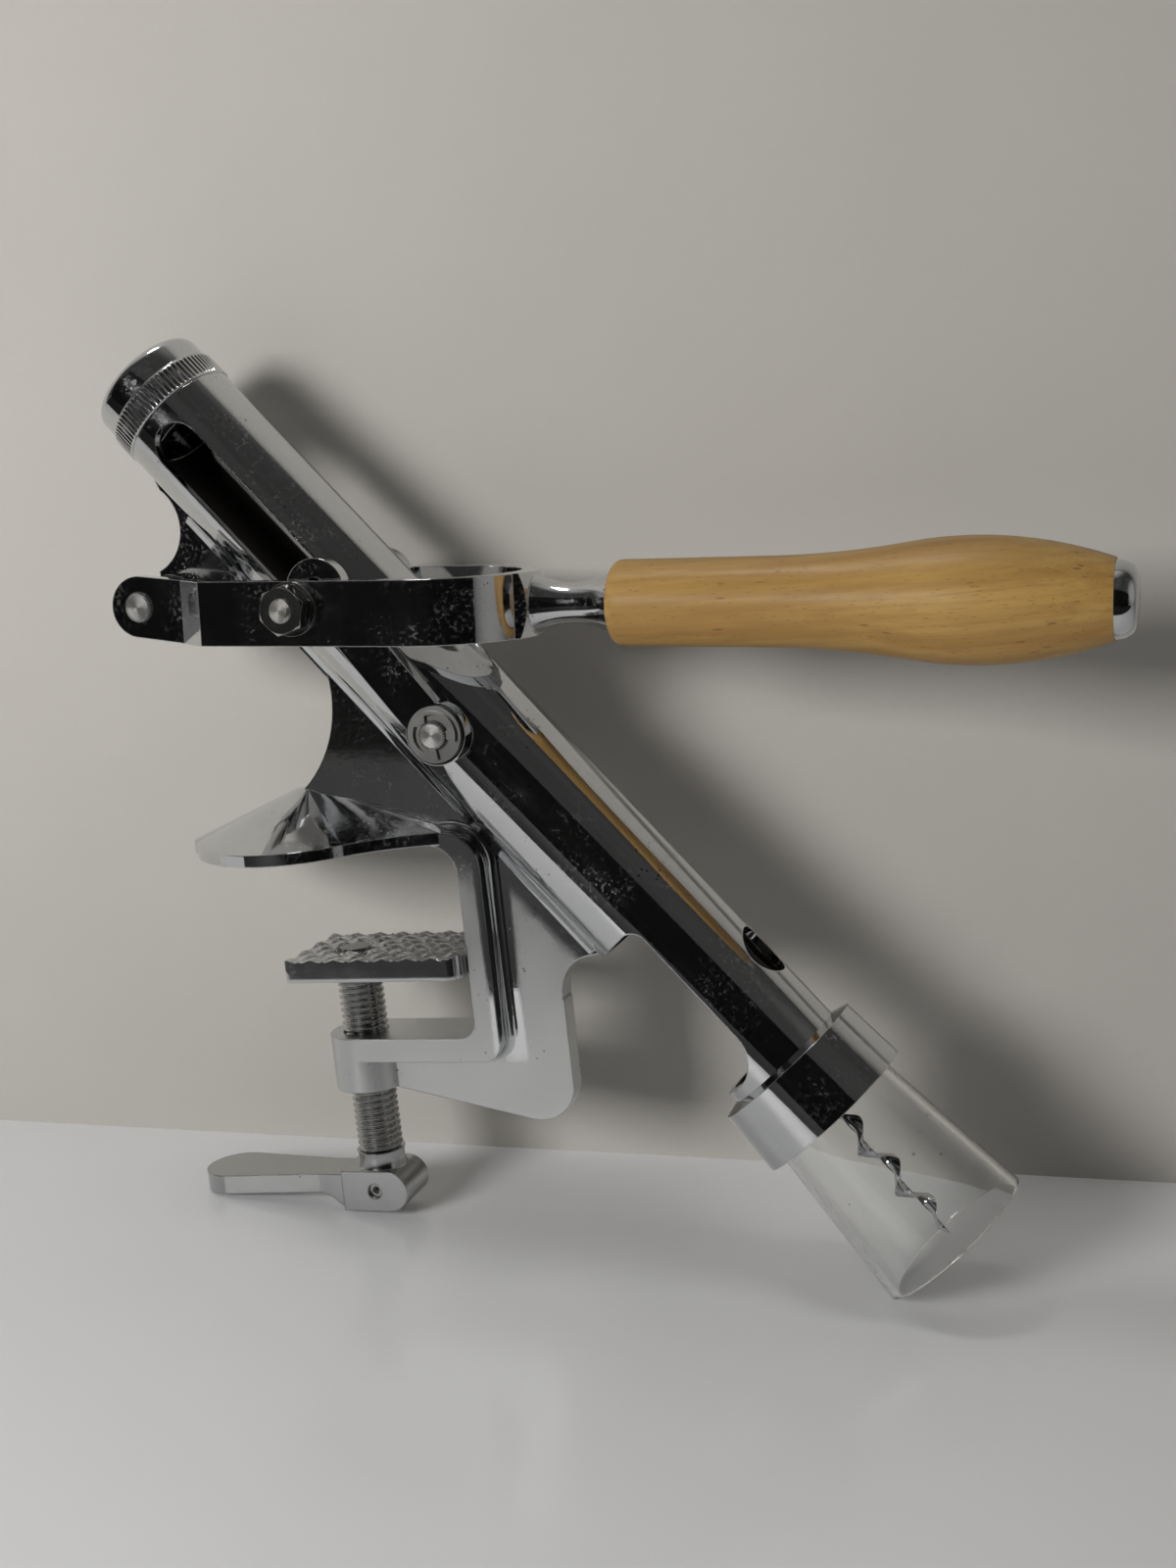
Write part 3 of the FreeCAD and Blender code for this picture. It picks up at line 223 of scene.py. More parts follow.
def metal(name, colour, gloss, haze, pitting=0.0, brushing=0.0, edge=0.35, speckle=0.0):
    """A metal with haze, a speckled film, fine scratches, pits in groups and soft edges.

    Haze, scratches, film and pits add to the roughness, which starts at gloss.  The edge is a
    radius in millimetres.
    """
    made, tree, shader, place = new_material(name)
    patches = noise(tree, place, PATCHES, 6, 0.62)
    scratches = noise(tree, stretched(tree, place, SCRATCHES, SCRATCH_TURN), 1, 2)
    cell = cells(tree, place, PITS)
    sizes = ramp(tree, cell["Color"], 0.2, 0.9, 0.06, 0.26)
    specks = ramp(tree, maths(tree, "SUBTRACT", cell["Distance"], sizes), 0.04, -0.04)
    groups = ramp(tree, noise(tree, place, PIT_GROUPS, 4, 0.6), 0.66 - 0.14 * pitting, 0.74)
    pits = times(tree, specks, groups)
    film = times(tree, ramp(tree, noise(tree, place, FILM, 3, 0.7), 0.54, 0.62),
                 ramp(tree, noise(tree, place, FILM_PATCHES, 5, 0.65), 0.42, 0.74, 0.0, speckle))
    rough = total(tree, ramp(tree, patches, 0.45, 0.8, gloss, gloss + haze),
                  ramp(tree, scratches, 0.6, 0.85, 0.0, 0.05 + brushing / 3),
                  film, times(tree, pits, 0.35))
    tone = blend(tree, ramp(tree, patches, 0.35, 0.9), colour, shaded(colour, 0.9))
    soft_edge = add(tree, "Bevel", {"Radius": edge * MM}, samples=BEVEL_SAMPLES).outputs[0]
    waves = bump(tree, noise(tree, place, WAVES, 2), 0.00025, 0.10, soft_edge)
    lined = bump(tree, scratches, 0.00002, 0.12 + brushing, waves)
    pitted = bump(tree, pits, 0.00005, 0.4, lined)
    pitted.node.invert = True
    tree.links.new(blend(tree, times(tree, pits, 0.85), tone, TARNISH),
                   shader.inputs["Base Color"])
    tree.links.new(rough, shader.inputs["Roughness"])
    tree.links.new(pitted, shader.inputs["Normal"])
    shader.inputs["Metallic"].default_value = 1.0
    if speckle:
        bare = maths(tree, "SUBTRACT", 1.0, times(tree, film, 0.6))
        tree.links.new(bare, shader.inputs["Metallic"])
    return made, tree, shader, place


# Where the casting's finishes and the painted shade in its bore change, each from its clear end to
# its full end, in metres.
CLAMP_BELOW = (-0.019, -0.024)         # square to the barrel's axis
CLAMP_HEIGHT = (0.004, -0.014)         # along Z
FILLET_BACK = (0.0395, 0.0410)         # along X: the flange's polished fillet to the web
FILLET_FRONT = (0.0475, 0.0455)
FILLET_FOOT = (-0.060, -0.056)         # along Z
BORE_WALL = (0.0142, 0.0136)           # from the barrel's axis
BORE_ROUGHNESS = 0.55


def casting_chrome():
    """Polished on barrel, fin and jaw, duller on the clamp frame, with painted shade, nearly
    black, inside the bore.
    """
    made, tree, shader, place = metal("casting_chrome", CHROME, 0.045, 0.10, pitting=0.9, edge=0.5,
                                      speckle=0.16)
    parts = add(tree, "SeparateXYZ", {0: place}).outputs
    below = ramp(tree, offset_along(tree, place, PIN, OUT), *CLAMP_BELOW)
    fillet = times(tree, ramp(tree, parts["X"], *FILLET_BACK),
                   ramp(tree, parts["X"], *FILLET_FRONT), ramp(tree, parts["Z"], *FILLET_FOOT))
    dull = times(tree, below, ramp(tree, parts["Z"], *CLAMP_HEIGHT),
                 maths(tree, "SUBTRACT", 1.0, fillet))
    # Mask for the painted shade inside the bore, from the barrel's axis out to its wall.
    bore = ramp(tree, off_axis(tree, place, PIN, DOWN), *BORE_WALL)
    cloud = ramp(tree, noise(tree, place, 70, 5, 0.6), 0.3, 0.75, 0.29, 0.38)
    rust = times(tree, ramp(tree, cells(tree, place, 520)["Distance"], 0.20, 0.12),
                 ramp(tree, noise(tree, place, 75, 4, 0.6), 0.57, 0.64))
    rough = mix(tree, dull, source_of(shader, "Roughness"), cloud)
    tone = blend(tree, dull, source_of(shader, "Base Color"), DULL_CHROME)
    tone = blend(tree, times(tree, rust, 0.8), tone, TARNISH)
    tree.links.new(mix(tree, bore, rough, BORE_ROUGHNESS), shader.inputs["Roughness"])
    # Painted shade: the bore's inside is made nearly black.
    tree.links.new(blend(tree, bore, tone, BORE_SHADE_COLOUR), shader.inputs["Base Color"])
    return made


BAR_PITCH = 0.0024
PLATE_EDGE = (-0.0320, -0.0305)        # along Z: softly rounded below, crisp above
PLATE_RADII = (0.0014, 0.0001)


def barred_chrome():
    """Chrome with low raised bars across the jaw plate, between its grooves."""
    made, tree, shader, place = metal("plate_chrome", CHROME, 0.06, 0.10, pitting=0.8)
    parts = add(tree, "SeparateXYZ", {0: place}).outputs
    tree.links.new(ramp(tree, parts["Z"], *PLATE_EDGE, *PLATE_RADII),
                   tree.nodes["Bevel"].inputs["Radius"])
    bars = ramp(tree, stripes(tree, parts["Y"], BAR_PITCH), -0.5, 0.6)
    tree.links.new(bump(tree, bars, 0.0003, 0.6, source_of(shader, "Normal")),
                   shader.inputs["Normal"])
    return made


LATHE_PITCH = 0.00035


def turned_steel(name, colour, node):
    """Steel with the fine rings that a lathe leaves on a pin's ends."""
    made, tree, shader, place = metal(name, colour, 0.29, 0.15, pitting=0.4, edge=0.12)
    rings = stripes(tree, off_axis(tree, place, middle(node), ACROSS), LATHE_PITCH)
    tree.links.new(bump(tree, rings, 0.00003, 0.5, source_of(shader, "Normal")),
                   shader.inputs["Normal"])
    return made


WOOD_LIGHT = (0.41, 0.255, 0.080, 1)
WOOD_DARK = (0.29, 0.162, 0.046, 1)


def lacquered_wood():
    """Pale hardwood with the grain along the grip, flecks, stains, scuffs and a worn lacquer."""
    made, tree, shader, place = new_material("lacquered_wood")
    figure = noise(tree, stretched(tree, place, (9, 150, 150)), 1, 4, 0.6)
    bands = add(tree, "TexWave", {"Vector": stretched(tree, place, (14, 90, 120)), "Scale": 1.0,
                                  "Distortion": 7, "Detail": 3, "Detail Scale": 1.2},
                bands_direction="Z").outputs["Fac"]
    grain = noise(tree, stretched(tree, place, (70, 900, 900)), 1, 5, 0.65)
    flecks = ramp(tree, cells(tree, stretched(tree, place, (240, 1500, 1500)))["Distance"],
                  0.24, 0.10)
    stains = ramp(tree, noise(tree, place, 48, 5, 0.7), 0.66, 0.78)
    dents = cells(tree, stretched(tree, place, (120, 560, 560), (0, 0.3, 0)))["Distance"]
    scuffs = times(tree, ramp(tree, dents, 0.22, 0.12),
                   ramp(tree, noise(tree, place, 75, 3, 0.6), 0.55, 0.62))
    tone = blend(tree, ramp(tree, figure, 0.3, 0.72), WOOD_LIGHT, WOOD_DARK)
    for share, mark in (
            (ramp(tree, bands, 0.55, 0.95, 0.0, 0.30), (0.29, 0.16, 0.05, 1)),
            (ramp(tree, grain, 0.48, 0.74, 0.0, 0.5), (0.25, 0.138, 0.045, 1)),
            (times(tree, flecks, 0.48), (0.14, 0.075, 0.025, 1)),
            (times(tree, stains, 0.5), (0.17, 0.10, 0.04, 1)),
            (times(tree, scuffs, 0.6), (0.12, 0.065, 0.025, 1))):
        tone = blend(tree, share, tone, mark)
    fine = bump(tree, grain, 0.00006, 0.25)
    tree.links.new(tone, shader.inputs["Base Color"])
    tree.links.new(ramp(tree, noise(tree, place, 40, 5), 0.3, 0.75, 0.38, 0.54),
                   shader.inputs["Roughness"])
    tree.links.new(bump(tree, noise(tree, place, 130, 3), 0.0003, 0.12, fine),
                   shader.inputs["Normal"])
    shader.inputs["Coat Weight"].default_value = 0.08
    shader.inputs["Specular IOR Level"].default_value = 0.3
    shader.inputs["Coat Roughness"].default_value = 0.22
    return made


def clear_plastic():
    """Clear moulded acrylic, with fine scratches, a few rubbed patches and dark specks."""
    made, tree, shader, place = new_material("clear_acrylic")
    lines = noise(tree, stretched(tree, place, (180, 1500, 700), (0.4, 0.9, 0.2)), 1, 3)
    specks = times(tree, ramp(tree, cells(tree, place, 260)["Distance"], 0.13, 0.07),
                   ramp(tree, noise(tree, place, 90, 2), 0.60, 0.66))
    tree.links.new(blend(tree, specks, (0.975, 0.98, 0.975, 1), (0.30, 0.22, 0.16, 1)),
                   shader.inputs["Base Color"])
    tree.links.new(ramp(tree, noise(tree, place, 60, 5, 0.6), 0.5, 0.85, 0.015, 0.10),
                   shader.inputs["Roughness"])
    tree.links.new(bump(tree, lines, 0.00003, 0.12), shader.inputs["Normal"])
    shader.inputs["Transmission Weight"].default_value = 1.0
    shader.inputs["IOR"].default_value = 1.49
    return made


def painted(name, light, dark, gloss, grain):
    """A plain painted surface with a little unevenness and a few marks, for floor and wall."""
    made, tree, shader, place = new_material(name)
    tone = blend(tree, ramp(tree, noise(tree, place, 3, 6, 0.6), 0.3, 0.75), light, dark)
    marks = times(tree, ramp(tree, cells(tree, place, 34)["Distance"], 0.045, 0.02),
                  ramp(tree, noise(tree, place, 9, 2), 0.6, 0.7, 0.0, 0.5))
    tree.links.new(blend(tree, marks, tone, shaded(dark, 0.45)), shader.inputs["Base Color"])
    tree.links.new(ramp(tree, noise(tree, place, 14, 5), 0.3, 0.8, gloss, gloss + 0.09),
                   shader.inputs["Roughness"])
    tree.links.new(bump(tree, noise(tree, place, 420, 4), grain, 0.35), shader.inputs["Normal"])
    return made


BARREL_CHROME = casting_chrome()
LEVER_CHROME = metal("lever_chrome", CHROME, 0.05, 0.08, pitting=1.0, edge=0.45, speckle=0.15)[0]
PART_CHROME = metal("part_chrome", CHROME, 0.05, 0.08, pitting=0.5, edge=0.4, speckle=0.2)[0]
WORN_CHROME = metal("worn_chrome", (0.48, 0.49, 0.49, 1), 0.16, 0.09, pitting=0.9, edge=0.6)[0]
PLATE_CHROME = barred_chrome()
STEEL = metal("zinc_steel", ZINC, 0.13, 0.10, pitting=0.6, edge=0.2)[0]
DULL_STEEL = metal("dull_steel", ZINC, 0.29, 0.10, pitting=0.6, edge=0.2)[0]
BRIGHT_STEEL = metal("bright_steel", CHROME, 0.09, 0.08, brushing=0.1, edge=0.1)[0]
OILED_STEEL = metal("oiled_steel", (0.30, 0.29, 0.28, 1), 0.29, 0.08, brushing=0.3, edge=0.2)[0]
BRONZE = metal("bronze", (0.55, 0.38, 0.17, 1), 0.29, 0.10, brushing=0.3, edge=0.2)[0]
WOOD = lacquered_wood()
ACRYLIC = clear_plastic()

FINISHES = {
    BARREL_CHROME: ("barrel_casting",),
    LEVER_CHROME: ("lever_fork", *pair("link")),
    PART_CHROME: ("neck_collar",),
    WORN_CHROME: ("clamp_crank",),
    STEEL: pair("stud_washer"),
    DULL_STEEL: (*pair("pin_washer"), "screw_tip_clip", "crank_pin"),
    OILED_STEEL: ("carriage", "spindle_retainer", "thrust_washer"),
    BRONZE: ("spindle_nut", *pair("slot_bushing")),
    WOOD: ("wood_grip",),
    ACRYLIC: ("bottle_cup",),
}
for finish, nodes in FINISHES.items():
    for node in nodes:
        frame["nodes"][node].material_slots[0].material = finish


# ------------------------------------------------------------------ making pieces

WELD = 1e-3                            # points closer than this become one


def piece(name, vertices, faces, material, crease=32.0):
    """A mesh object from points in millimetres, smooth up to a crease angle in degrees."""
    mesh = bpy.data.meshes.new(name)
    mesh.from_pydata([Vector(vertex) * MM for vertex in vertices], [], faces)
    work = bmesh.new()
    work.from_mesh(mesh)
    bmesh.ops.remove_doubles(work, verts=work.verts, dist=WELD * MM)
    bmesh.ops.recalc_face_normals(work, faces=work.faces)
    work.to_mesh(mesh)
    work.free()
    mesh.shade_smooth()
    mesh.set_sharp_from_angle(angle=math.radians(crease))
    mesh.materials.append(material)
    made = bpy.data.objects.new(name, mesh)
    bpy.context.scene.collection.objects.link(made)
    return made


def seat(made, body, slot, *nodes):
    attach(made, body)
    if nodes:
        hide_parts(*nodes)


def stations(start, end, step):
    count = max(2, round(abs(end - start) / step) + 1)
    return [start + (end - start) * index / (count - 1) for index in range(count)]


def dome(station, height, radius, crown, steps):
    """A quarter ellipse of profile points, from a round piece's edge to its crown."""
    angles = [math.pi / 2 * step / steps for step in range(steps + 1)]
    return [(station + height * math.sin(angle), crown + (radius - crown) * math.cos(angle))
            for angle in angles]


def skin(rings, count, closed=False, capped=False):
    """Faces between rings of count points, with the last ring joined to the first if closed."""
    faces = []
    for ring in range(rings if closed else rings - 1):
        here, above = ring * count, (ring + 1) % rings * count
        for step in range(count):
            after = (step + 1) % count
            faces.append((here + step, here + after, above + after, above + step))
    if capped:
        faces += [tuple(range(count)), tuple(range((rings - 1) * count, rings * count))]
    return faces


def lathe(name, origin, axis, profile, material, around=96, relief=None, closed=False,
          crease=32.0):
    """A piece turned about an axis; relief(angle, station, radius) gives ribs and threads."""
    side = axis.orthogonal().normalized()
    other = axis.cross(side)
    vertices = []
    for station, radius in profile:
        for step in range(around):
            angle = 2 * math.pi * step / around
            reach = relief(angle, station, radius) if relief else radius
            vertices.append(origin + station * axis
                            + reach * (math.cos(angle) * side + math.sin(angle) * other))
    return piece(name, vertices, skin(len(profile), around, closed), material, crease)


def ripple(turns):
    """0 to 1 and back again in each turn."""
    return abs(turns % 1 - 0.5) * 2


def clamped(value):
    return min(1.0, max(0.0, value))


def thread_height(angle, station, pitch, starts=1, root=0.12, flank=0.72):
    """0 at a thread's root and 1 at its crest; root and flank are shares of half a pitch."""
    turns = station / pitch - starts * angle / (2 * math.pi)
    return clamped((ripple(turns) - root) / flank)


def rib_gap(angle, ribs, steepness):
    """1 in the gaps between a round piece's ribs and 0 on their flat tops."""
    return 1 - clamped(ripple(angle * ribs / (2 * math.pi)) * steepness)


# ------------------------------------------------------------------ end cap with its knurl

KNURL_RIBS = 76
KNURL_DEPTH = 0.45
KNURL_LENGTH = 6.8
KNURL_STEEPNESS = 1.6
KNURL_BEVEL = 0.4
KNURL_PLAIN = 0.7                      # length without ribs at each end
SHOULDER = (0.3, 0.5)                  # cap's step up to the knurl: its length and its drop
CAP_DIA = 31.2
CAP_EDGE = 2.6                         # radius of the rounded edge
ON_END = 0.01                          # how near a point is that counts as on the cap's end
ON_RIM = 0.05                          # and as on its knurled rim

cap_top, cap_end, cap_reach = span("barrel_end_cap", PIN, DOWN)
cap_points = polar("barrel_end_cap", PIN, DOWN)
spigot_radii = [reach for station, reach in cap_points if station > cap_end - ON_END]
knurl_end = max(station for station, reach in cap_points if reach > cap_reach - ON_RIM)
knurl_start = knurl_end - KNURL_LENGTH


def knurled(angle, station, radius):
    if knurl_start + KNURL_BEVEL < station < knurl_end - KNURL_BEVEL:
        return radius - KNURL_DEPTH * rib_gap(angle, KNURL_RIBS, KNURL_STEEPNESS)
    return radius


cap_profile = [
    (cap_top, 0),
    *reversed(dome(cap_top + CAP_EDGE, -CAP_EDGE, CAP_DIA / 2, CAP_DIA / 2 - CAP_EDGE, steps=8)),
    (knurl_start - SHOULDER[0], CAP_DIA / 2), (knurl_start, cap_reach - SHOULDER[1]),
    (knurl_start + KNURL_BEVEL, cap_reach), (knurl_start + KNURL_PLAIN, cap_reach),
    (knurl_end - KNURL_PLAIN, cap_reach), (knurl_end - KNURL_BEVEL, cap_reach),
    (knurl_end, cap_reach - KNURL_BEVEL), (knurl_end, max(spigot_radii)),
    (cap_end, max(spigot_radii)), (cap_end, min(spigot_radii)),
    (knurl_start, min(spigot_radii)), (knurl_start, 0)]
seat(lathe("knurled_end_cap", PIN, DOWN, cap_profile, PART_CHROME, around=KNURL_RIBS * 6,
           relief=knurled, crease=28),
     "frame", "chrome", "barrel_end_cap")

# ------------------------------------------------------------------ grip's domed cap

GRIP_TILT = math.radians(4.2)
GRIP_DROP = 1.3                        # grip's axis below the rear pivot
GRIP_END = 238.9                       # stations along the grip's axis, from the rear pivot
GRIP_CAP_BASE = 237.9
GRIP_CAP_END = 243.9
GRIP_CAP_RADIUS = 9.0
GRIP_DISC_RADIUS = 4.9
GRIP_RING_WIDTH = 0.4
GRIP_RING_DEPTH = 0.35
GRIP_RING_BEVEL = 0.1

grip_axis = Vector((math.cos(GRIP_TILT), 0, -math.sin(GRIP_TILT)))
grip_root = PIVOT - GRIP_DROP * Vector((math.sin(GRIP_TILT), 0, math.cos(GRIP_TILT)))
crown = GRIP_DISC_RADIUS + GRIP_RING_WIDTH
ring_floor = GRIP_CAP_END - GRIP_RING_DEPTH
grip_cap_profile = [
    (GRIP_CAP_BASE, 0), (GRIP_CAP_BASE, GRIP_CAP_RADIUS),
    *dome(GRIP_END, GRIP_CAP_END - GRIP_END, GRIP_CAP_RADIUS, crown, steps=16),
    (ring_floor, crown - GRIP_RING_BEVEL), (ring_floor, GRIP_DISC_RADIUS + GRIP_RING_BEVEL),
    (GRIP_CAP_END - GRIP_RING_BEVEL, GRIP_DISC_RADIUS),
    (GRIP_CAP_END, GRIP_DISC_RADIUS - 2 * GRIP_RING_BEVEL), (GRIP_CAP_END, 0)]
seat(lathe("domed_grip_cap", grip_root, grip_axis, grip_cap_profile, PART_CHROME, crease=28),
     "lever", "chrome", "grip_end_cap")

# ------------------------------------------------------------------ clamp screw

SCREW_PITCH = 1.75
SCREW_DEPTH = 0.95
SCREW_RUNOUT = 0.8                     # length over which the thread fades at each end
SCREW_RUNOUT_DEPTH = 0.5
SCREW_STEP = 0.16
SCREW_SHANK_DIA = 9.0
SCREW_NECK_DIA = 8.0
PLATE_GAP = 0.1                        # jaw plate to the thread's start

screw_low, screw_high, screw_reach = span("clamp_screw", ORIGIN, UP)
plate_low, plate_high = (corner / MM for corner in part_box("jaw_plate"))
thread_top = plate_low.z - PLATE_GAP
thread_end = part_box("clamp_crank")[1].z / MM


def screw_thread(angle, station, radius):
    if radius != screw_reach:
        return radius
    left = clamped(min(thread_top - station, station - thread_end) / SCREW_RUNOUT)
    depth = SCREW_DEPTH * (1 - thread_height(angle, station, SCREW_PITCH))
    return radius - max(depth, SCREW_RUNOUT_DEPTH * (1 - left))


screw_profile = [
    (screw_high, 0), (screw_high, SCREW_NECK_DIA / 2), (thread_top, SCREW_NECK_DIA / 2),
    *((station, screw_reach) for station in stations(thread_top, thread_end, SCREW_STEP)),
    (thread_end, SCREW_SHANK_DIA / 2), (screw_low, SCREW_SHANK_DIA / 2), (screw_low, 0)]
seat(lathe("threaded_clamp_screw", ORIGIN, UP, screw_profile, STEEL, around=56,
           relief=screw_thread, crease=50),
     "clamp_screw", "steel", "clamp_screw")

# ------------------------------------------------------------------ spindle

SPINDLE_STARTS = 4
SPINDLE_LEAD = 13.0
SPINDLE_DEPTH = 1.2
SPINDLE_STEP = 0.7
SPINDLE_ROOT = 0.25                    # root and flank as shares of half a pitch
SPINDLE_FLANK = 0.35
HEAD_LENGTH = 6.0
PLAIN_LENGTH = 6.0                     # from the head to the thread
WORM_COVER = 1.0                       # how far the spindle reaches past the worm
SOCKET_DEPTH = 11                      # for the worm's shank
SOCKET_RADIUS = 2.6

spindle_top, spindle_end, head_reach = span("spindle", PIN, DOWN)
worm_top, worm_tip, worm_reach = span("worm", PIN, DOWN)
spindle_radius = worm_reach + WORM_COVER
head_end = spindle_top + HEAD_LENGTH


def steep_thread(angle, station, radius):
    if radius != spindle_radius or station < head_end + PLAIN_LENGTH:
        return radius
    height = thread_height(angle, station, SPINDLE_LEAD / SPINDLE_STARTS, SPINDLE_STARTS,
                           SPINDLE_ROOT, SPINDLE_FLANK)
    return radius - SPINDLE_DEPTH * (1 - height)


spindle_profile = [
    (spindle_top, 0), (spindle_top, head_reach), (head_end, head_reach),
    (head_end, spindle_radius),
    *((station, spindle_radius)
      for station in stations(head_end + PLAIN_LENGTH - 1, spindle_end, SPINDLE_STEP)),
    (spindle_end, SOCKET_RADIUS), (spindle_end - SOCKET_DEPTH, SOCKET_RADIUS),
    (spindle_end - SOCKET_DEPTH, 0)]
seat(lathe("threaded_spindle", PIN, DOWN, spindle_profile, OILED_STEEL, around=64,
           relief=steep_thread, crease=40),
     "spindle", "steel", "spindle")

# ------------------------------------------------------------------ worm

WORM_LEAD = 13.0
WORM_STEPS = 48                        # rings in each turn
WORM_POINT = 13.0                      # length of the ground point
WORM_TIP_SHARE = 0.06                  # size of the tip, as a share of the blade's
WORM_START = 1.8                       # spindle's end to the middle of the first turn
WORM_PHASE = math.radians(-130)
SHANK_RADIUS = 2.5
# The blade's section: distance from the axis as a share of the worm's radius, and half its
# thickness in millimetres.
BLADE = ((-0.06, 0.35), (0.08, 1.05), (0.26, 1.35), (0.48, 1.1), (0.70, 0.55), (0.86, 0.05))

worm_start = spindle_end + WORM_START


def worm_blade():
    """The thin blade that winds about the barrel's axis down to its point."""
    side = DOWN.cross(-OUT)
    section = [*BLADE, *((share, -half) for share, half in reversed(BLADE))]
    rounds = stations(worm_start, worm_tip - max(half for share, half in BLADE),
                      WORM_LEAD / WORM_STEPS)
    vertices = []
    for station in rounds:
        angle = 2 * math.pi * (station - worm_start) / WORM_LEAD + WORM_PHASE
        ray = math.cos(angle) * -OUT + math.sin(angle) * side
        left = min(1.0, (rounds[-1] - station) / WORM_POINT)
        size = WORM_TIP_SHARE + (1 - WORM_TIP_SHARE) * math.sin(left * math.pi / 2)
        vertices += [PIN + (station + half * size) * DOWN + share * worm_reach * size * ray
                     for share, half in section]
    return piece("bladed_worm", vertices, skin(len(rounds), len(section), capped=True),
                 BRIGHT_STEEL, 42)


shank_profile = [(worm_top, 0), (worm_top, SHANK_RADIUS), (spindle_end, SHANK_RADIUS),
                 *dome(worm_start, SHANK_RADIUS, SHANK_RADIUS, 0, steps=10)]
seat(worm_blade(), "spindle", "steel", "worm")
seat(lathe("worm_shank", PIN, DOWN, shank_profile, BRIGHT_STEEL, around=48), "spindle", "steel")

# ------------------------------------------------------------------ studs, nuts and pins

STUD_PITCH = 1.0
STUD_DEPTH = 0.5
NUT_CHAMFER = 0.8
NUT_CHAMFER_SLOPE = 1.9
NUT_LIFTS = (0.1, 0.2, 0.3, 0.4, 0.5)
SPLINES = 32
SPLINE_DEPTH = 0.28
SPLINE_LENGTH = 2.6
SPLINE_STEEPNESS = 1.5
END_BEVEL = 0.5
ROD_STEP = 0.12


def rod(name, node, material, body, relief, around):
    """A round pin across the part with bevelled ends; relief also gets the distance to an end."""
    centre = middle(node)
    low, high, radius = span(node, centre, ACROSS)

    def shaped(angle, station, reach):
        return relief(angle, station, reach, min(station - low, high - station)) if reach else 0

    profile = [
        (low, 0), (low, radius - END_BEVEL),
        *((station, radius) for station in stations(low + END_BEVEL, high - END_BEVEL, ROD_STEP)),
        (high, radius - END_BEVEL), (high, 0)]
    seat(lathe(name, centre, ACROSS, profile, material, around=around, relief=shaped, crease=45),
         body, "steel", node)


def stud_thread(angle, station, radius, from_end):
    return radius - STUD_DEPTH * (1 - thread_height(angle, station, STUD_PITCH))


def splined_ends(angle, station, radius, from_end):
    if from_end > SPLINE_LENGTH:
        return radius
    return radius - SPLINE_DEPTH * rib_gap(angle, SPLINES, SPLINE_STEEPNESS)


def hex_nut(name, node, stud):
    centre = middle(node)
    low, high, corner = span(node, centre, ACROSS)
    flat = corner * math.cos(math.pi / 6)
    bore = span(stud, centre, ACROSS)[2]

    def hexagon(angle, station, radius):
        if radius == bore:
            return radius
        reach = flat / math.cos((angle + math.pi / 6) % (math.pi / 3) - math.pi / 6)
        from_end = min(station - low, high - station)
        return min(reach, corner - NUT_CHAMFER + from_end * NUT_CHAMFER_SLOPE)

    profile = [
        (low, bore), (low, corner), *((low + lift, corner) for lift in NUT_LIFTS),
        *((high - lift, corner) for lift in reversed(NUT_LIFTS)), (high, corner), (high, bore)]
    seat(lathe(name, centre, ACROSS, profile, STEEL, around=72, relief=hexagon, closed=True,
               crease=24),
         "lever", "steel", node)


for side in SIDES:
    stud = "link_stud_" + side
    rod("threaded_stud_" + side, stud,
        turned_steel("stud_steel_" + side, (0.5, 0.49, 0.46, 1), stud), "lever", stud_thread, 48)
    hex_nut("hex_nut_" + side, "stud_nut_" + side, stud)

rod("splined_pivot_pin", "rear_pivot_pin",
    turned_steel("pivot_steel", (0.55, 0.55, 0.54, 1), "rear_pivot_pin"), "lever",
    splined_ends, SPLINES * 6)
rod("turned_carriage_pin", "carriage_pin",
    turned_steel("pin_steel", (0.58, 0.58, 0.57, 1), "carriage_pin"), "carriage",
    splined_ends, SPLINES * 6)

# ------------------------------------------------------------------ snap clips

CLIP_OPENING = math.radians(64)
CLIP_LOBE = math.radians(16)           # half of each lobe that grips the pin
CLIP_POCKET = 1.5                      # depth of the gaps between the lobes
CLIP_FLAT = 0.9                        # share of a lobe that keeps to the pin
CLIP_STEEPNESS = 2
CLIP_STEP = math.radians(3)
CLIP_GAP = 0.05                        # between clip and pin


def snap_clip(side):
    """A three-lobed clip that grips the pin, open towards the cup."""
    node = "pin_clip_" + side
    centre = middle(node)
    low, high, reach = span(node, centre, ACROSS)
    grip = span("carriage_pin", centre, ACROSS)[2] + CLIP_GAP
    first, last = CLIP_OPENING / 2, 2 * math.pi - CLIP_OPENING / 2
    lobes = (first + CLIP_LOBE, math.pi, last - CLIP_LOBE)
    angles = stations(first, last, CLIP_STEP)
    vertices = []
    for angle in angles:
        nearest = min(abs(angle - lobe) for lobe in lobes)
        pocket = clamped((nearest / CLIP_LOBE - CLIP_FLAT) * CLIP_STEEPNESS)
        inner = grip + CLIP_POCKET * pocket
        ray = math.cos(angle) * DOWN + math.sin(angle) * OUT
        vertices += [centre + radius * ray + station * ACROSS for radius, station in
                     ((inner, low), (inner, high), (reach, high), (reach, low))]
    seat(piece("snap_clip_" + side, vertices, skin(len(angles), 4, capped=True), DULL_STEEL, 40),
         "carriage", "steel", node)


for side in SIDES:
    snap_clip(side)

# ------------------------------------------------------------------ jaw plate

GROOVE_PITCH = 5.4
GROOVE_DEPTH = 0.8
GROOVE_HALF = 1.9
GROOVE_TURN = math.radians(52)


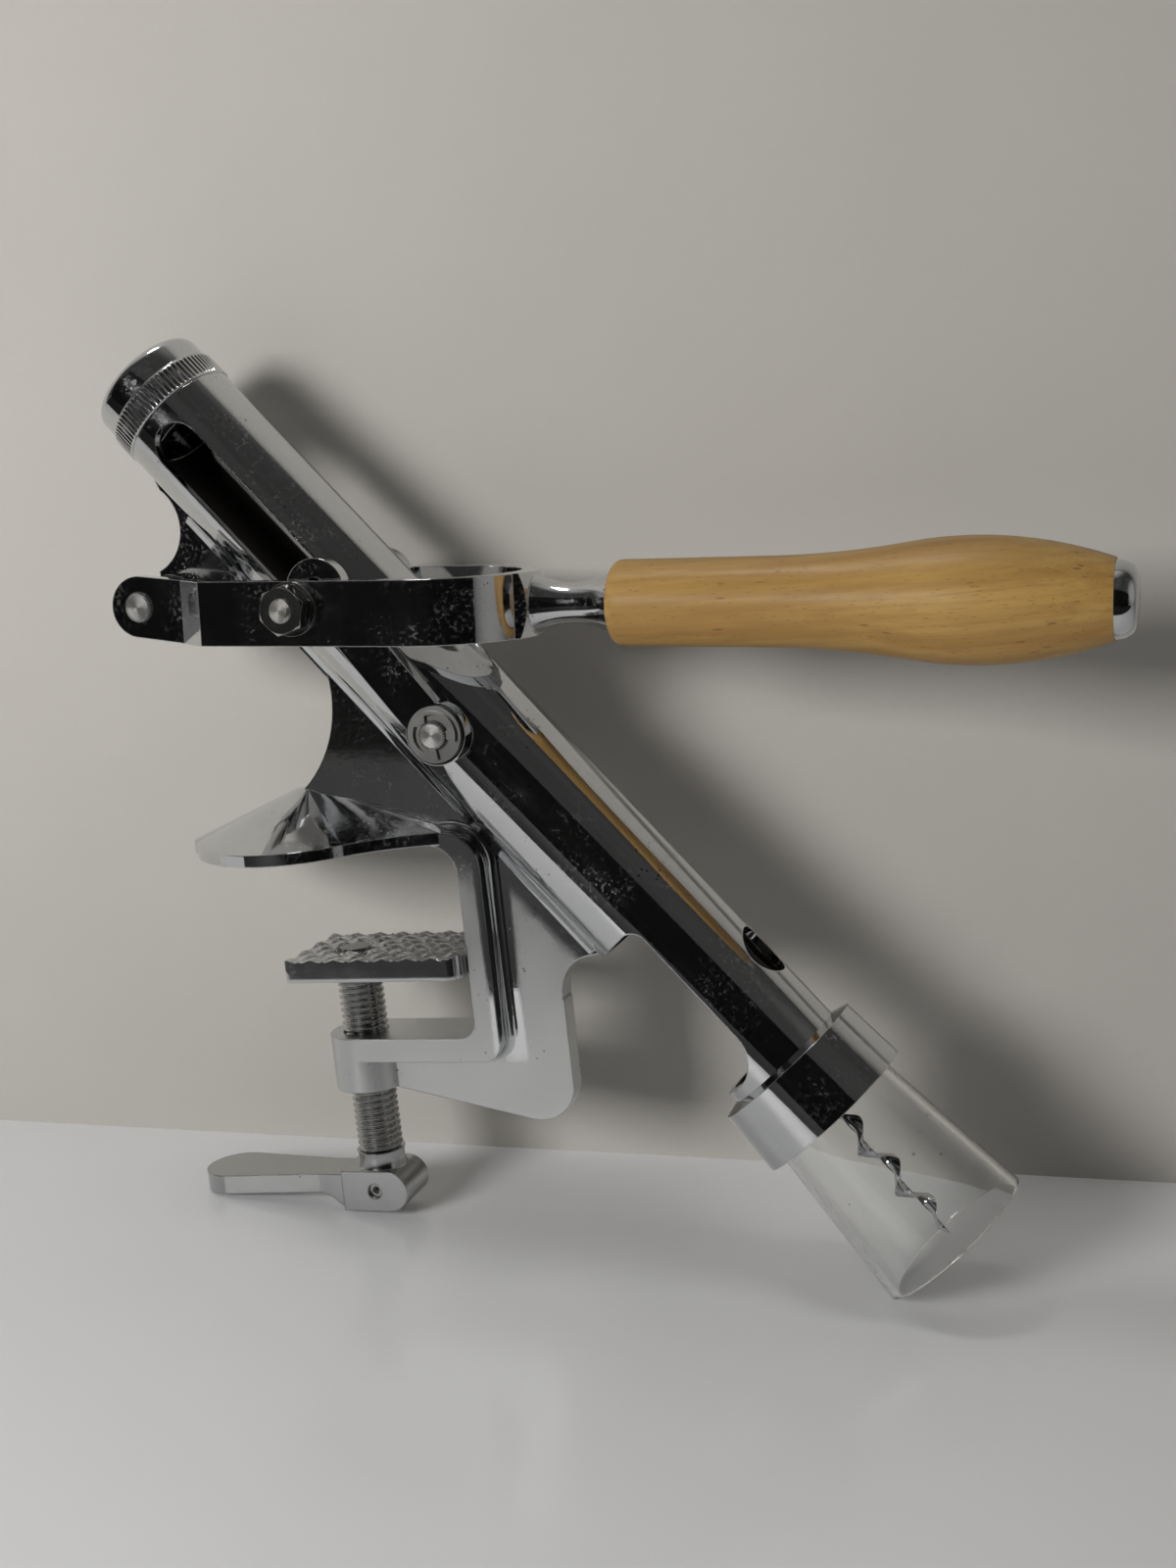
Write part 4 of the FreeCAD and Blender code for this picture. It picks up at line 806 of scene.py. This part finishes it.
def grooves(turn):
    """Cutters for one set of parallel V grooves across the top of the jaw plate."""
    run = Vector((math.cos(turn), math.sin(turn), 0))
    step = Vector((-run.y, run.x, 0))
    heart = (plate_low + plate_high) / 2
    reach = (plate_high - plate_low).length
    count = int(reach / GROOVE_PITCH / 2) + 1
    vertices, faces = [], []
    for index in range(-count, count + 1):
        line = Vector((heart.x, heart.y, plate_high.z)) + (index + 0.5) * GROOVE_PITCH * step
        start = len(vertices)
        vertices += [line + end * run + across * step + lift * UP
                     for end in (-reach, reach)
                     for across, lift in ((-GROOVE_HALF * 2, GROOVE_DEPTH),
                                          (GROOVE_HALF * 2, GROOVE_DEPTH), (0, -GROOVE_DEPTH))]
        faces += [[start + corner for corner in face] for face in
                  ((0, 1, 2), (5, 4, 3), (0, 3, 4, 1), (1, 4, 5, 2), (2, 5, 3, 0))]
    return piece("groove_cutter", vertices, faces, PLATE_CHROME)


serrated = bpy.data.objects.new("serrated_jaw_plate", frame["nodes"]["jaw_plate"].data.copy())
bpy.context.scene.collection.objects.link(serrated)
for turn in (GROOVE_TURN, -GROOVE_TURN):
    cutter = grooves(turn)
    cut = serrated.modifiers.new("groove", "BOOLEAN")
    cut.operation = "DIFFERENCE"
    cut.object = cutter
    cut.solver = "EXACT"
    bpy.context.view_layer.update()
    grooved = bpy.data.meshes.new_from_object(
        serrated.evaluated_get(bpy.context.evaluated_depsgraph_get()))
    serrated.modifiers.clear()
    serrated.data = grooved
    bpy.data.objects.remove(cutter)
serrated.data.materials.clear()
serrated.data.materials.append(PLATE_CHROME)
serrated.data.shade_smooth()
serrated.data.set_sharp_from_angle(angle=math.radians(20))
seat(serrated, "jaw", "chrome", "jaw_plate")

# ------------------------------------------------------------------ table and wall

STAGE_REACH = 1600
FLOOR_GAP = 0.05                       # cup's rim to the table
WALL_DISTANCE = 46                     # mid-plane to the wall, at the clamp screw
WALL_TURN = math.radians(12.4)

# The part rests on the table with the cup's rim and the crank, so the table slopes in its frame.
cup_foot = min(points("bottle_cup"), key=lambda point: point.z)
floor_slope = min((point.z - cup_foot.z) / (cup_foot.x - point.x)
                  for point in points("clamp_crank"))
FLOOR_X = Vector((1, 0, -floor_slope)).normalized()
FLOOR_UP = FLOOR_X.cross(ACROSS)


def sheet(name, centre, first, second, material):
    corners = [centre + across * first * STAGE_REACH + along * second * STAGE_REACH
               for across, along in ((-1, -1), (1, -1), (1, 1), (-1, 1))]
    piece(name, corners, [(0, 1, 2, 3)], material)


def clear_from_behind(material):
    """Hides a sheet from behind, so that it covers nothing in a view from the back."""
    tree = material.node_tree
    mixed = add(tree, "MixShader", {0: add(tree, "NewGeometry").outputs["Backfacing"],
                                    1: tree.nodes["Principled BSDF"].outputs[0],
                                    2: add(tree, "BsdfTransparent").outputs[0]})
    tree.links.new(mixed.outputs[0], tree.nodes["Material Output"].inputs["Surface"])


FLOOR_PAINT = painted("white_table", (0.80, 0.81, 0.83, 1), (0.77, 0.78, 0.80, 1), 0.16, 0.00002)
FLOOR_PAINT.node_tree.nodes["Principled BSDF"].inputs["Specular IOR Level"].default_value = 0.42
WALL_PAINT = painted("warm_grey_wall", (0.49, 0.475, 0.445, 1), (0.45, 0.435, 0.41, 1), 0.55,
                     0.0002)
wall_run = (math.cos(WALL_TURN) * FLOOR_X + math.sin(WALL_TURN) * ACROSS).normalized()
sheet("floor", cup_foot - FLOOR_GAP * FLOOR_UP, FLOOR_X, ACROSS, FLOOR_PAINT)
sheet("wall", WALL_DISTANCE * ACROSS, wall_run, FLOOR_UP, WALL_PAINT)
clear_from_behind(WALL_PAINT)

# ------------------------------------------------------------------ light

world = bpy.data.worlds.new("room")
world.use_nodes = True
bpy.context.scene.world = world
room = world.node_tree
sight = add(room, "TexCoord").outputs["Generated"]


def glow(direction, edge, heart, strength):
    """A soft bright patch of the room, seen in a direction."""
    toward = add(room, "VectorMath", {0: sight, 1: Vector(direction).normalized()},
                 operation="DOT_PRODUCT").outputs[1]
    return ramp(room, toward, edge, heart, 0, strength)


background = room.nodes["Background"]
room.links.new(total(room, glow((-0.25, 0.3, 1), 0.66, 0.97, 0.42), 0.02,
                     glow((-1, 0.25, 0.35), 0.80, 0.98, 0.38),
                     glow((1, -0.1, 0.15), 0.85, 0.99, 0.26),
                     times(room, noise(room, sight, 2.4, 3), 0.05)),
               background.inputs["Strength"])
background.inputs["Color"].default_value = (1.0, 0.98, 0.95, 1)

HEART = Vector((70, 0, 10))            # what the lamps point at
WINDOW = Vector((-240, -925, 300))
CEILING = Vector((10, 40, 900))
DAYLIGHT = (1.0, 0.985, 0.96)


def lamp(name, place, width, height, power, mirrored=True):
    """A rectangular lamp; one that isn't mirrored lights matt surfaces only."""
    data = bpy.data.lights.new(name, "AREA")
    data.shape = "RECTANGLE"
    data.size, data.size_y = width * MM, height * MM
    data.energy = power
    data.color = DAYLIGHT
    made = bpy.data.objects.new(name, data)
    made.location = place * MM
    made.visible_glossy = mirrored
    made.rotation_mode = "QUATERNION"
    made.rotation_quaternion = (HEART - place).to_track_quat("-Z", "Y")
    bpy.context.scene.collection.objects.link(made)


lamp("window", WINDOW, 330, 250, 5.0, mirrored=False)
lamp("window_sheen", WINDOW, 330, 250, 3.0)
lamp("ceiling", CEILING, 420, 160, 2.3)

# Dark cards stand where the table ends and the dim half of a room begins.  They show only in
# reflections.
TABLE_EDGE = 200                       # mid-plane to the front edge of the table
CARD_DISTANCE = 610
CARD_HALF_WIDTH = 1100
CARD_TOP = 560

dim_room, tree, shader, place = new_material("dim_room")
tree.links.new(blend(tree, ramp(tree, noise(tree, place, 3.5, 3), 0.5, 0.8),
                     (0.001, 0.0015, 0.002, 1), (0.02, 0.017, 0.014, 1)),
               shader.inputs["Base Color"])
shader.inputs["Roughness"].default_value = 0.9
card_corners = [cup_foot + FLOOR_UP + across * FLOOR_X - reach * ACROSS + rise * FLOOR_UP
                for reach, rise in ((TABLE_EDGE, 0), (CARD_DISTANCE, 0), (CARD_DISTANCE, CARD_TOP))
                for across in (-CARD_HALF_WIDTH, CARD_HALF_WIDTH)]
card = piece("dim_room_card", card_corners, [(0, 1, 3, 2), (2, 3, 5, 4)], dim_room)
card.visible_camera = False
card.visible_diffuse = False
card.visible_transmission = False
card.visible_shadow = False

# ------------------------------------------------------------------ camera

AZIMUTH = math.radians(19.91)
ELEVATION = math.radians(8.83)
ROLL = -0.10618
DISTANCE = 476.08
AIM = Vector((69.66, 0, 12.06))
FOCAL_PIXELS = 1953.91
LONG_SIDE_PIXELS = 1600
SENSOR = 36.0

eye = Vector((math.sin(AZIMUTH) * math.cos(ELEVATION), -math.cos(AZIMUTH) * math.cos(ELEVATION),
              math.sin(ELEVATION)))
camera_data = bpy.data.cameras.new("camera")
camera_data.sensor_width = SENSOR
camera_data.lens = FOCAL_PIXELS * SENSOR / LONG_SIDE_PIXELS
camera_data.clip_start = 0.01
camera = bpy.data.objects.new("camera", camera_data)
camera.matrix_world = (Matrix.Translation((AIM + DISTANCE * eye) * MM)
                       @ (-eye).to_track_quat("-Z", "Y").to_matrix().to_4x4()
                       @ Matrix.Rotation(ROLL, 4, "Z"))
bpy.context.scene.collection.objects.link(camera)
bpy.context.scene.camera = camera
bpy.context.scene.view_settings.view_transform = "Standard"
